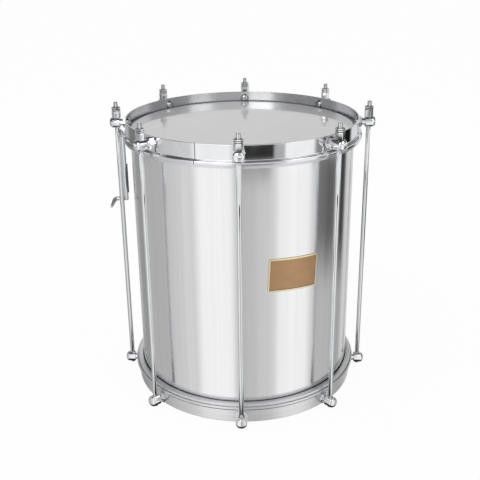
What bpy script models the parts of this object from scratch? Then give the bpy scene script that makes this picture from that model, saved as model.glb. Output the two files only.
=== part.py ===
"""A repinique: a slim metal drum with two heads, eight long tension rods and a strap hook.

Units are metres and +Z is up. The origin is the middle of the base, on the drum's axis, and the
drum stands on the rim of its bottom hoop. Rod 1 is at +X and the others follow counter-clockwise.
The batter end is the upper one, which is played. The resonant end is the lower one, built the
same way and turned over.
"""

import math

import bmesh
import bpy
from mathutils import Matrix, Vector

MM = 0.001

# Seats and fits
GAP = 0.3 * MM
RING_STEPS = 48
SMALL_STEPS = 12
LUG_STEPS = 12
WELD = 0.00001

# Shell
SHELL_RADIUS = 127.0 * MM
SHELL_LENGTH = 298.0 * MM
SHELL_WALL = 1.2 * MM
SHELL_EDGE_RADIUS = 3.0 * MM
SHELL_LIP = 5.0 * MM

# Heads: a film whose collar runs down into the slot of its flesh hoop
FILM = 0.3 * MM
COLLAR_DROP = 6.9 * MM
COLLAR_FLARE = 2.8 * MM
HEM_LENGTH = 3.0 * MM
FLESH_HOOP_WIDTH = 5.0 * MM
FLESH_HOOP_HEIGHT = 5.7 * MM
FLESH_HOOP_LIP = 0.8 * MM
FLESH_HOOP_ROOM = 2.0 * MM

# Hoops: pressed sheet with a wall, a shoulder over the flesh hoop and a short skirt round it
HOOP_SHEET = 1.5 * MM
HOOP_WALL_HEIGHT = 16.5 * MM
HOOP_SKIRT_DROP = 4.4 * MM
HOOP_SKIRT_ROOM = 0.4 * MM
HOOP_BEND = 1.5 * MM

# Lugs: a round barrel for the rod, on a neck with a six-sided shoulder
LUG_COUNT = 8
LUG_AXIS_DROP = 8.2 * MM
LUG_RADIUS = 6.3 * MM
LUG_NOSE = 8.0 * MM
LUG_HEEL = 4.2 * MM
LUG_NOSE_ROUND = 3.0 * MM
LUG_NECK_RADIUS = 4.0 * MM
LUG_SHOULDER_FLATS = 11.4 * MM
LUG_SHOULDER_LENGTH = 3.3 * MM
LUG_SPOT_FACE_DEPTH = 1.0 * MM
LUG_SCREW_DEPTH = 6.2 * MM

# Screws that hold the lugs from inside the hoops
SCREW_RADIUS = 2.5 * MM
SCREW_HEAD_RADIUS = 5.2 * MM
SCREW_HEAD_HEIGHT = 3.0 * MM

# Rods and their nuts
ROD_OFFSET = 11.3 * MM
ROD_RADIUS = 2.65 * MM
ROD_STUB = 6.0 * MM
ROD_NUB = 1.5 * MM
ROD_CHAMFER = 0.7 * MM
NUT_FLATS = 9.0 * MM
NUT_HEIGHT = 12.0 * MM
NUT_CHAMFER = 0.6 * MM
NUT_GROOVE = 0.7 * MM
NUT_GROOVE_PITCH = 1.8 * MM
NUT_GROOVE_COUNT = 2
NUT_REST_TURNS = (10, 24, 5, 38, 50, 20, 2, 15)

# Plate on the shell
PLATE_ANGLE = 296.6
PLATE_DROP = 146.2 * MM
PLATE_WIDTH = 58.5 * MM
PLATE_HEIGHT = 37.6 * MM
PLATE_SHEET = 0.6 * MM
PLATE_RIM = 0.5 * MM
PLATE_RIM_WIDTH = 1.6 * MM
PLATE_TILT = -2.8

# Strap hook: a bent wire beside one rod, its leg guarded by a split sleeve on the side of the drum
HOOK_ROD = 5
HOOK_WIRE_RADIUS = 2.5 * MM
HOOK_LUG_ROOM = 1.0 * MM
HOOK_WRAP_HEIGHT = 9.0 * MM
HOOK_WRAP_TURN = 100.0
HOOK_LENGTH = 81.0 * MM
HOOK_ARM_DROP = 3.0 * MM
HOOK_NOSE_CORNER = 8.9 * MM
HOOK_NOSE_BEND = 4.0 * MM
HOOK_NOSE_REACH = 11.6 * MM
HOOK_NOSE_FORWARD = 9.0 * MM
HOOK_NOSE_DROP = 5.9 * MM
HOOK_TIP_SHARE = 0.6
SLEEVE_WALL = 0.8 * MM
SLEEVE_LENGTH = 34.5 * MM
SLEEVE_RISE = 6.7 * MM
SLEEVE_WRAP = 140.0
SLEEVE_NARROWING = 0.6
SLEEVE_STEPS = 8

# Rings worked out from the shell outwards
flesh_inner = SHELL_RADIUS + FLESH_HOOP_ROOM
flesh_outer = flesh_inner + FLESH_HOOP_WIDTH
slot_inner = flesh_inner + FLESH_HOOP_LIP
slot_outer = slot_inner + FILM + 2 * GAP
hem_radius = (slot_inner + slot_outer) / 2
hoop_inner = slot_outer
hoop_outer = hoop_inner + HOOP_SHEET
skirt_inner = flesh_outer + HOOP_SKIRT_ROOM
skirt_outer = skirt_inner + HOOP_SHEET
rod_circle = hoop_outer + ROD_OFFSET

# Depths below a hoop's rim, the same at both ends
shoulder_under = HOOP_WALL_HEIGHT + HOOP_SHEET
skirt_edge = HOOP_WALL_HEIGHT + HOOP_SKIRT_DROP
flesh_top = shoulder_under + GAP
head_recess = flesh_top - COLLAR_DROP
shell_edge = head_recess + FILM + GAP
total_height = SHELL_LENGTH + 2 * shell_edge

# Heights on a rod
lug_top = total_height - LUG_AXIS_DROP
nut_seat = lug_top + LUG_RADIUS - LUG_SPOT_FACE_DEPTH + GAP
rod_top = nut_seat + NUT_HEIGHT + ROD_STUB
rod_bottom = LUG_AXIS_DROP - LUG_RADIUS - ROD_NUB


def facet(radius):
    """Distance from the axis to the flat of a turned ring's facet."""
    return radius * math.cos(math.pi / RING_STEPS)


# Radii of the flats that the lugs and their screws sit on
lug_seat = facet(hoop_outer) + GAP
screw_seat = facet(hoop_inner) - GAP


def clear_scene():
    """Remove every object of the scene."""
    for item in list(bpy.data.objects):
        bpy.data.objects.remove(item, do_unlink=True)


def make_collection(name):
    """Add a collection to the scene."""
    collection = bpy.data.collections.new(name)
    bpy.context.scene.collection.children.link(collection)
    return collection


def make_material(name, colour, metallic, roughness):
    """Make a plain finish."""
    material = bpy.data.materials.new(name)
    material.use_nodes = True
    shader = material.node_tree.nodes["Principled BSDF"]
    shader.inputs["Base Color"].default_value = (*colour, 1.0)
    shader.inputs["Metallic"].default_value = metallic
    shader.inputs["Roughness"].default_value = roughness
    return material


def add_object(name, data, collection, material=None, parent=None):
    """Put a mesh or curve in a collection."""
    item = bpy.data.objects.new(name, data)
    collection.objects.link(item)
    if material is not None:
        item.data.materials.clear()
        item.data.materials.append(material)
    item.parent = parent
    return item


def add_cutter(name, data):
    """Put a cutting body in the cutters' collection, hidden from renders."""
    item = add_object(name, data, cutters)
    item.display_type = "WIRE"
    item.hide_render = True
    return item


def add_empty(name, location=(0.0, 0.0, 0.0)):
    """Add an empty that carries the pieces of one moving body."""
    item = bpy.data.objects.new(name, None)
    item.location = location
    parts.objects.link(item)
    return item


def cut(item, cutter, operation="DIFFERENCE"):
    """Cut a piece with another by an exact Boolean."""
    modifier = item.modifiers.new(operation.lower(), "BOOLEAN")
    modifier.operation = operation
    modifier.solver = "EXACT"
    modifier.object = cutter


def baked(item):
    """Return the placed mesh of a piece with its modifiers carried out, and remove the piece."""
    bpy.context.view_layer.update()
    graph = bpy.context.evaluated_depsgraph_get()
    mesh = bpy.data.meshes.new_from_object(item.evaluated_get(graph))
    mesh.transform(item.matrix_world)
    bpy.data.objects.remove(item, do_unlink=True)
    return mesh


def shade_round(mesh):
    """Shade a mesh smooth, with its true edges kept sharp."""
    mesh.shade_smooth()
    mesh.set_sharp_from_angle(angle=math.radians(35))


def filleted(points, radius, pieces=1):
    """Round the inner corners of a line, by less where a run is too short for the radius."""
    points = [Vector(point) for point in points]
    line = [points[0]]
    for before, corner, after in zip(points, points[1:], points[2:]):
        back = before - corner
        on = after - corner
        half = back.angle(on) / 2
        reach = min(radius / math.tan(half), 0.48 * back.length, 0.48 * on.length)
        arc_radius = reach * math.tan(half)
        back.normalize()
        on.normalize()
        centre = corner + (back + on).normalized() * (arc_radius / math.sin(half))
        first = corner + back * reach - centre
        last = corner + on * reach - centre
        sweep = first.angle(last)
        for step in range(pieces + 1):
            share = step / pieces
            mix = first * math.sin((1 - share) * sweep) + last * math.sin(share * sweep)
            line.append(centre + mix / math.sin(sweep))
    line.append(points[-1])
    return line


def sheet_section(line, thickness):
    """Close the middle line of a sheet into its section, left side first and right side back."""
    line = [Vector(point) for point in line]
    sides = ([], [])
    for index, point in enumerate(line):
        runs = []
        if index > 0:
            runs.append((point - line[index - 1]).normalized())
        if index < len(line) - 1:
            runs.append((line[index + 1] - point).normalized())
        normals = [Vector((-run.y, run.x)) for run in runs]
        middle = sum(normals, Vector((0.0, 0.0))).normalized()
        offset = middle * (thickness / 2 / middle.dot(normals[0]))
        sides[0].append(point + offset)
        sides[1].append(point - offset)
    return [tuple(point) for point in sides[0] + sides[1][::-1]]


def at_end(loop, batter):
    """Place a section drawn below a rim at height zero: at the batter end, or turned over."""
    if batter:
        return [(radius, total_height + height) for radius, height in loop]
    return [(radius, -height) for radius, height in reversed(loop)]


def turned_mesh(name, outline, closed):
    """Make the outline of a turned piece, which runs down its outer side."""
    count = len(outline)
    edges = [(index, index + 1) for index in range(count - 1)]
    if closed:
        edges.append((count - 1, 0))
    mesh = bpy.data.meshes.new(name)
    mesh.from_pydata([(radius, 0.0, height) for radius, height in outline], edges, [])
    return mesh


def turn(item, steps):
    """Turn an outline round +Z, with a facet centred on +X."""
    screw = item.modifiers.new("turn", "SCREW")
    screw.axis = "Z"
    screw.angle = math.tau
    screw.steps = steps
    screw.render_steps = steps
    screw.use_merge_vertices = True
    screw.merge_threshold = WELD
    item.rotation_euler.z = math.pi / steps


def add_ring(name, section, material, parent=None):
    """Add a large turned piece round the drum's axis."""
    closed = section[0][0] > WELD
    item = add_object(name, turned_mesh(name, section, closed), parts, material, parent)
    turn(item, RING_STEPS)
    return item


def turned_solid(name, outline, steps):
    """Return the mesh of a small turned solid whose outline starts and ends on its axis."""
    item = add_object(name, turned_mesh(name, outline, False), cutters)
    turn(item, steps)
    return baked(item)


def bar(name, flats, length, sides, start=0.0):
    """Return a prism along +Z from a start height, measured across its flats."""
    shape = bmesh.new()
    radius = flats / 2 / math.cos(math.pi / sides)
    place = Matrix.Translation((0.0, 0.0, start + length / 2)) @ Matrix.Rotation(math.pi / sides, 4, "Z")
    bmesh.ops.create_cone(shape, cap_ends=True, segments=sides, radius1=radius, radius2=radius,
                          depth=length, matrix=place)
    mesh = bpy.data.meshes.new(name)
    shape.to_mesh(mesh)
    shape.free()
    return mesh


def block(name, size):
    """Return a box round the origin."""
    shape = bmesh.new()
    bmesh.ops.create_cube(shape, size=1.0, matrix=Matrix.Diagonal((*size, 1.0)))
    mesh = bpy.data.meshes.new(name)
    shape.to_mesh(mesh)
    shape.free()
    return mesh


def lug_angle(number):
    """Angle round the drum of a numbered rod, in radians."""
    return math.tau * (number - 1) / LUG_COUNT


def on_rod_circle(number, height):
    """Point on a numbered rod's axis."""
    angle = lug_angle(number)
    return Vector((rod_circle * math.cos(angle), rod_circle * math.sin(angle), height))


def shell_section():
    """Section of the shell: a straight sheet whose ends turn in over rounded bearing edges."""
    middle = SHELL_WALL / 2
    lip = SHELL_RADIUS - SHELL_LIP
    side = SHELL_RADIUS - middle
    top = total_height - shell_edge - middle
    bottom = shell_edge + middle
    line = [(lip, top), (side, top), (side, bottom), (lip, bottom)]
    return sheet_section(filleted(line, SHELL_EDGE_RADIUS - middle, 2), SHELL_WALL)


def head_section():
    """Section of a head: flat film, bearing edge, flared collar and hem."""
    middle = FILM / 2
    side = SHELL_RADIUS + GAP + middle
    surface = -head_recess - middle
    bend = SHELL_EDGE_RADIUS + GAP + middle
    mouth = -(flesh_top - GAP)
    line = filleted([(0.0, surface), (side, surface), (side, mouth + COLLAR_FLARE)], bend, 2)
    line.append(Vector((hem_radius, mouth)))
    line.append(Vector((hem_radius, -flesh_top - HEM_LENGTH)))
    return sheet_section(line, FILM)


def flesh_hoop_section():
    """Section of a flesh hoop: a bar with a slot for the hem and a bevel that clears the bend."""
    bottom = -flesh_top - FLESH_HOOP_HEIGHT
    slot_floor = -flesh_top - HEM_LENGTH - GAP
    return [(flesh_outer - HOOP_BEND, -flesh_top), (flesh_outer, -flesh_top - HOOP_BEND),
            (flesh_outer, bottom), (flesh_inner, bottom), (flesh_inner, -flesh_top),
            (slot_inner, -flesh_top), (slot_inner, slot_floor), (slot_outer, slot_floor),
            (slot_outer, -flesh_top)]


def hoop_section():
    """Section of a hoop: wall, shoulder and skirt of one bent sheet."""
    wall = hoop_inner + HOOP_SHEET / 2
    skirt = skirt_inner + HOOP_SHEET / 2
    shoulder = -HOOP_WALL_HEIGHT - HOOP_SHEET / 2
    line = [(wall, 0.0), (wall, shoulder), (skirt, shoulder), (skirt, -skirt_edge)]
    return sheet_section(filleted(line, HOOP_BEND), HOOP_SHEET)


def build_shell():
    """The metal shell."""
    add_ring("shell", shell_section(), aluminium)


def build_head(end, parent):
    """A head and its flesh hoop."""
    batter = end == "batter"
    add_ring(f"{end}_head", at_end(head_section(), batter), film, parent)
    add_ring(f"{end}_flesh_hoop", at_end(flesh_hoop_section(), batter), aluminium, parent)


def build_hoop(end, parent):
    """A hoop, with a hole in its wall for each lug's screw."""
    batter = end == "batter"
    height = lug_top if batter else LUG_AXIS_DROP
    hoop = add_ring(f"{end}_hoop", at_end(hoop_section(), batter), chrome, parent)
    shape = bmesh.new()
    for number in range(1, LUG_COUNT + 1):
        place = (Matrix.Translation((0.0, 0.0, height)) @ Matrix.Rotation(lug_angle(number), 4, "Z")
                 @ Matrix.Translation((hoop_outer, 0.0, 0.0)) @ Matrix.Rotation(math.pi / 2, 4, "Y"))
        bmesh.ops.create_cone(shape, cap_ends=True, segments=SMALL_STEPS, radius1=SCREW_RADIUS + GAP,
                              radius2=SCREW_RADIUS + GAP, depth=6 * HOOP_SHEET, matrix=place)
    drill = bpy.data.meshes.new(f"{end}_hoop_holes")
    shape.to_mesh(drill)
    shape.free()
    cut(hoop, add_cutter(f"{end}_hoop_holes", drill))


def lug_mesh():
    """One lug, its axis along +X away from the drum, its rod's axis on Z, spot face upwards."""
    base = lug_seat - rod_circle
    nose = filleted([(0.0, LUG_NOSE), (LUG_RADIUS, LUG_NOSE), (LUG_RADIUS, -LUG_HEEL)], LUG_NOSE_ROUND, 3)
    outline = [tuple(point) for point in nose]
    outline += [(LUG_NECK_RADIUS, -LUG_HEEL),
                (LUG_NECK_RADIUS, base + LUG_SHOULDER_LENGTH / 2), (0.0, base + LUG_SHOULDER_LENGTH / 2)]
    body = add_object("lug_body", turned_solid("lug_barrel", outline, LUG_STEPS), cutters)
    shoulder = add_cutter("lug_shoulder", bar("lug_shoulder", LUG_SHOULDER_FLATS, LUG_SHOULDER_LENGTH, 6, base))
    cut(body, shoulder, "UNION")
    screw_hole = add_cutter("lug_screw_hole", bar("lug_screw_hole", 2 * (SCREW_RADIUS + GAP),
                                                  LUG_SCREW_DEPTH + HOOP_SHEET, SMALL_STEPS, base - HOOP_SHEET))
    cut(body, screw_hole)
    across = Matrix.Rotation(-math.pi / 2, 4, "Y")
    rod_hole_mesh = bar("lug_rod_hole", 2 * (ROD_RADIUS + GAP), 4 * LUG_RADIUS, SMALL_STEPS, -2 * LUG_RADIUS)
    rod_hole_mesh.transform(across)
    rod_hole = add_cutter("lug_rod_hole", rod_hole_mesh)
    cut(body, rod_hole)
    spot_mesh = bar("lug_spot_face", 2 * (NUT_FLATS / math.sqrt(3) + 3 * GAP), LUG_RADIUS, LUG_STEPS,
                    LUG_RADIUS - LUG_SPOT_FACE_DEPTH)
    spot_mesh.transform(across)
    spot_face = add_cutter("lug_spot_face", spot_mesh)
    cut(body, spot_face)
    mesh = baked(body)
    for cutter in (shoulder, screw_hole, rod_hole, spot_face):
        bpy.data.objects.remove(cutter, do_unlink=True)
    mesh.transform(Matrix.Rotation(math.pi / 2, 4, "Y"))
    mesh.name = "lug"
    shade_round(mesh)
    return mesh


def screw_mesh():
    """One lug screw in the lug's own axes, its domed head towards the drum's axis."""
    seat = screw_seat - rod_circle
    tip = lug_seat - rod_circle + LUG_SCREW_DEPTH - 2 * GAP
    dome = seat - SCREW_HEAD_HEIGHT
    outline = [(0.0, tip), (SCREW_RADIUS, tip), (SCREW_RADIUS, seat), (SCREW_HEAD_RADIUS, seat),
               (SCREW_HEAD_RADIUS, seat - SCREW_HEAD_HEIGHT / 3),
               (SCREW_HEAD_RADIUS * 0.65, dome), (0.0, dome)]
    mesh = turned_solid("lug_screw", outline, SMALL_STEPS)
    mesh.transform(Matrix.Rotation(math.pi / 2, 4, "Y"))
    shade_round(mesh)
    return mesh


def nut_mesh():
    """One tension nut on its seat: six-sided, with grooves round its upper part."""
    corner = NUT_FLATS / math.sqrt(3)
    outline = [(0.0, NUT_HEIGHT), (corner - NUT_CHAMFER, NUT_HEIGHT), (corner, NUT_HEIGHT - NUT_CHAMFER)]
    for index in range(NUT_GROOVE_COUNT):
        top = NUT_HEIGHT - NUT_CHAMFER - NUT_GROOVE_PITCH * (index + 1) + NUT_GROOVE
        outline += [(corner, top), (corner - NUT_GROOVE, top - NUT_GROOVE / 3),
                    (corner - NUT_GROOVE, top - 2 * NUT_GROOVE / 3), (corner, top - NUT_GROOVE)]
    outline += [(corner, NUT_CHAMFER / 2), (corner - NUT_CHAMFER / 2, 0.0), (0.0, 0.0)]
    body = add_object("nut_body", turned_solid("nut_body", outline, 6), cutters)
    bore = add_cutter("nut_bore", bar("nut_bore", 2 * (ROD_RADIUS + GAP), 2 * NUT_HEIGHT, SMALL_STEPS,
                                      -NUT_HEIGHT / 2))
    cut(body, bore)
    mesh = baked(body)
    bpy.data.objects.remove(bore, do_unlink=True)
    mesh.name = "tension_nut"
    shade_round(mesh)
    return mesh


def rod_mesh():
    """One tension rod, from its end under the lower lug to its tip."""
    outline = [(0.0, rod_top), (ROD_RADIUS - ROD_CHAMFER, rod_top), (ROD_RADIUS, rod_top - ROD_CHAMFER),
               (ROD_RADIUS, rod_bottom + ROD_CHAMFER), (ROD_RADIUS - ROD_CHAMFER, rod_bottom), (0.0, rod_bottom)]
    mesh = turned_solid("tension_rod", outline, SMALL_STEPS)
    shade_round(mesh)
    return mesh


def build_tension_sets(travel):
    """Lugs, screws, rods and nuts round the drum."""
    lug = lug_mesh()
    screw = screw_mesh()
    rod = rod_mesh()
    nut = nut_mesh()
    for number in range(1, LUG_COUNT + 1):
        angle = lug_angle(number)
        for end, height, roll, parent in (("batter", lug_top, 0.0, travel), ("resonant", LUG_AXIS_DROP, math.pi, None)):
            for name, mesh in ((f"{end}_lug_{number}", lug), (f"{end}_lug_screw_{number}", screw)):
                piece = add_object(name, mesh, parts, chrome, parent)
                piece.location = on_rod_circle(number, height)
                piece.rotation_euler = (roll, 0.0, angle)
        rod_piece = add_object(f"tension_rod_{number}", rod, parts, chrome)
        rod_piece.location = on_rod_circle(number, 0.0)
        nut_piece = add_object(f"tension_nut_{number}", nut, parts, chrome, travel)
        nut_piece.location = on_rod_circle(number, nut_seat)
        nut_piece.rotation_euler.z = angle + math.radians(NUT_REST_TURNS[number - 1])


def plate_blank(name, inner, outer, width, height):
    """A bent blank: a band round the shell, cut out by a box turned to the plate's place."""
    middle = total_height - PLATE_DROP
    half = height
    section = [(outer, middle + half), (outer, middle - half), (inner, middle - half), (inner, middle + half)]
    blank = add_object(name, turned_mesh(name, section, True), cutters)
    turn(blank, RING_STEPS)
    box = add_cutter(f"{name}_outline", block(f"{name}_outline", (SHELL_RADIUS / 2, width, height)))
    place = (Matrix.Rotation(math.radians(PLATE_ANGLE), 4, "Z") @ Matrix.Translation((SHELL_RADIUS, 0.0, middle))
             @ Matrix.Rotation(math.radians(PLATE_TILT), 4, "X"))
    box.matrix_world = place
    cut(blank, box, "INTERSECT")
    mesh = baked(blank)
    bpy.data.objects.remove(box, do_unlink=True)
    return mesh


def build_plate():
    """The bare plate on the shell, with a raised rim."""
    inner = SHELL_RADIUS + GAP
    outer = inner + PLATE_SHEET + PLATE_RIM
    plate = add_object("plate", plate_blank("plate", inner, outer, PLATE_WIDTH, PLATE_HEIGHT), parts, brass)
    recess = plate_blank("plate_recess", inner + PLATE_SHEET, outer + PLATE_SHEET,
                         PLATE_WIDTH - 2 * PLATE_RIM_WIDTH, PLATE_HEIGHT - 2 * PLATE_RIM_WIDTH)
    cut(plate, add_cutter("plate_recess", recess))


def hook_route():
    """Points along the hook's wire beside its rod: X towards the drum, Y along its skin, Z up."""
    near = ROD_RADIUS + GAP + HOOK_WIRE_RADIUS
    top = lug_top - LUG_RADIUS - HOOK_LUG_ROOM - HOOK_WIRE_RADIUS
    leg_end = top - HOOK_LENGTH
    points = []
    for step in range(9, -1, -1):
        share = step / 9
        angle = math.radians(HOOK_WRAP_TURN) * share ** 1.5
        height = top - HOOK_WRAP_HEIGHT * (1 - share)
        points.append((near * math.cos(angle), near * math.sin(angle), height))
    for step in range(7):
        angle = math.pi / 2 * step / 6
        points.append((near * math.cos(angle), near * math.sin(angle), leg_end - HOOK_ARM_DROP * math.sin(angle)))
    arm = leg_end - HOOK_ARM_DROP
    corner = (-HOOK_NOSE_CORNER, near, arm)
    tip = (-HOOK_NOSE_REACH, -HOOK_NOSE_FORWARD, arm - HOOK_NOSE_DROP)
    nose = filleted([points[-1], corner, tip], HOOK_NOSE_BEND, 5)
    return points + nose[1:], leg_end


def split_sleeve(low, high):
    """The sleeve in the wire's axes: a strip bent round its +X side and narrower towards its ends."""
    bore = HOOK_WIRE_RADIUS + GAP
    shape = bmesh.new()
    rows = []
    for row in range(SLEEVE_STEPS + 1):
        place = 2 * row / SLEEVE_STEPS - 1
        half = math.radians(SLEEVE_WRAP) / 2 * (1 - SLEEVE_NARROWING * abs(place) ** 3)
        height = low + (high - low) * row / SLEEVE_STEPS
        loop = []
        for radius, way in ((bore + SLEEVE_WALL, 1), (bore, -1)):
            for step in range(SLEEVE_STEPS + 1):
                angle = way * half * (2 * step / SLEEVE_STEPS - 1)
                loop.append(shape.verts.new((radius * math.cos(angle), radius * math.sin(angle), height)))
        rows.append(loop)
    count = len(rows[0])
    for lower, upper in zip(rows, rows[1:]):
        for index in range(count):
            after = (index + 1) % count
            shape.faces.new((lower[index], lower[after], upper[after], upper[index]))
    for loop in (rows[0], rows[-1]):
        for step in range(SLEEVE_STEPS):
            shape.faces.new((loop[step], loop[step + 1], loop[count - 2 - step], loop[count - 1 - step]))
    bmesh.ops.triangulate(shape, faces=shape.faces)
    bmesh.ops.recalc_face_normals(shape, faces=shape.faces)
    mesh = bpy.data.meshes.new("strap_hook_sleeve")
    shape.to_mesh(mesh)
    shape.free()
    shade_round(mesh)
    return mesh


def build_hook():
    """The strap hook and the split sleeve on its leg, both carried by an empty on the rod's axis."""
    pivot = add_empty("strap_hook_pivot", on_rod_circle(HOOK_ROD, 0.0))
    pivot.rotation_euler.z = lug_angle(HOOK_ROD) + math.pi
    route, leg_end = hook_route()
    curve = bpy.data.curves.new("strap_hook", "CURVE")
    curve.dimensions = "3D"
    spline = curve.splines.new("POLY")
    spline.points.add(len(route) - 1)
    for point, place in zip(spline.points, route):
        point.co = (*place, 1.0)
    spline.points[-1].radius = HOOK_TIP_SHARE
    curve.bevel_depth = HOOK_WIRE_RADIUS
    curve.bevel_resolution = 2
    curve.use_fill_caps = True
    add_object("strap_hook", curve, parts, chrome, pivot)
    low = leg_end + SLEEVE_RISE
    sleeve = add_object("strap_hook_sleeve", split_sleeve(low, low + SLEEVE_LENGTH), parts, rubber, pivot)
    sleeve.location.x = ROD_RADIUS + GAP + HOOK_WIRE_RADIUS


clear_scene()
parts = make_collection("repinique")
cutters = make_collection("cutters")
aluminium = make_material("brushed_aluminium", (0.78, 0.79, 0.80), 1.0, 0.30)
chrome = make_material("chrome_plate", (0.72, 0.73, 0.75), 1.0, 0.08)
film = make_material("smooth_film", (0.58, 0.58, 0.58), 0.0, 0.35)
brass = make_material("bronze_plate", (0.38, 0.25, 0.14), 1.0, 0.40)
rubber = make_material("dark_rubber", (0.10, 0.10, 0.10), 0.0, 0.60)

batter_travel = add_empty("batter_hoop_travel")
build_shell()
build_head("batter", None)
build_head("resonant", None)
build_hoop("batter", batter_travel)
build_hoop("resonant", None)
build_tension_sets(batter_travel)
build_plate()
build_hook()
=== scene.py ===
"""A repinique in a plain studio, its pieces with eased edges, rolled threads and metal finishes.

Units are metres and +Z is up. The drum stands on the rim of its bottom hoop, round the Z axis.
Rod 1 is at +X and the others follow counter-clockwise. The batter end is the upper one.
"""

import logging
import math

from dataclasses import dataclass, field
from enum import Enum

import bmesh
import bpy
from mathutils import Matrix, Vector


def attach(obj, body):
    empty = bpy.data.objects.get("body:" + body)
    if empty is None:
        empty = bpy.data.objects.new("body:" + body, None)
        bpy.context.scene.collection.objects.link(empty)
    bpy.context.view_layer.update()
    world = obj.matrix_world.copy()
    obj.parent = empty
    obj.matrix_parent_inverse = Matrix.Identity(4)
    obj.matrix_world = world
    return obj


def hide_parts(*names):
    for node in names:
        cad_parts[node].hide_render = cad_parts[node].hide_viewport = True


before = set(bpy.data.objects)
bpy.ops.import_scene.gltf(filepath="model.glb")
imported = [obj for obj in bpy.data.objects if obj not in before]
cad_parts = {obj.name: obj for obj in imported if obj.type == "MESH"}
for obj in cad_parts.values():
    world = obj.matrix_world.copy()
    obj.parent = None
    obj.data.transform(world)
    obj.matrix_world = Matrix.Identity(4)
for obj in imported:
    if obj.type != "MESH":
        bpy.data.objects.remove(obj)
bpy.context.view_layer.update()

LOG = logging.getLogger("repinique")
MM = 0.001
GAP = 0.3 * MM
RING_STEPS = 256
TURNED_STEPS = 48
BORE_STEPS = 32
SHARP_TURN = math.radians(50)
BEVEL_TURN = math.radians(35)
MOST_OF_RUN = 0.48
ROD_COUNT = 8
ROD_CIRCLE = 143.5 * MM

Point = tuple[float, float]
Colour = tuple[float, float, float]

SHADE_AT_SHELL_FOOT: Colour = (0.10, 0.10, 0.10)
SHADE_IN_GROOVE: Colour = (0.04, 0.04, 0.04)
SHADE_IN_SEAM: Colour = (0.05, 0.05, 0.05)
SHADE_AT_PLATE_RIM: Colour = (0.16, 0.10, 0.06)


class End(Enum):
    """The two ends of the drum."""

    BATTER = "batter"
    RESONANT = "resonant"


class Grain(Enum):
    """Direction of the marks that a metal was finished with, as frequencies per metre."""

    UPRIGHT = (1500.0, 1500.0, 7.0)
    ROUND = (10.0, 10.0, 2600.0)
    FINE = (900.0, 900.0, 900.0)


class Body(Enum):
    """The drum's bodies that ring-shaped sets of pieces and the hook ride on."""

    DRUM = "drum"
    HOOP_SET = "batter_hoop_set"
    HOOK_SET = "hook_set"


class Socket:
    """An output of a node, with the arithmetic that patterns are written in."""

    def __init__(self, graph: "Graph", output: bpy.types.NodeSocket) -> None:
        """Keep the output and the graph it belongs to."""
        self.graph = graph
        self.output = output

    def out(self, name: str | int) -> "Socket":
        """Return another output of the same node."""
        return Socket(self.graph, self.output.node.outputs[name])

    def maths(self, operation: str, *others: "Socket | float") -> "Socket":
        """Return the result of an operation on this value and the others."""
        return self.graph.maths(operation, self, *others)

    def __add__(self, other: "Socket | float") -> "Socket":
        """Sum."""
        return self.maths("ADD", other)

    def __radd__(self, other: float) -> "Socket":
        """Sum with a number on the left."""
        return self.graph.maths("ADD", other, self)

    def __sub__(self, other: "Socket | float") -> "Socket":
        """Difference."""
        return self.maths("SUBTRACT", other)

    def __rsub__(self, other: float) -> "Socket":
        """Difference from a number on the left."""
        return self.graph.maths("SUBTRACT", other, self)

    def __mul__(self, other: "Socket | float") -> "Socket":
        """Product."""
        return self.maths("MULTIPLY", other)

    def __rmul__(self, other: float) -> "Socket":
        """Product with a number on the left."""
        return self.graph.maths("MULTIPLY", other, self)

    def __truediv__(self, other: "Socket | float") -> "Socket":
        """Quotient."""
        return self.maths("DIVIDE", other)

    def band(self, low: float, high: float, start: float = 0.0, end: float = 1.0) -> "Socket":
        """Carry a value smoothly from one level to another.

        Args:
            low: The value at which the start level ends.
            high: The value at which the end level begins.
            start: Result below low.
            end: Result above high.

        Returns:
            The smoothed level.
        """
        inputs = {"Value": self, "From Min": low, "From Max": high, "To Min": start, "To Max": end}
        return self.graph.node("ShaderNodeMapRange", {"interpolation_type": "SMOOTHSTEP"}, inputs)


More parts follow.
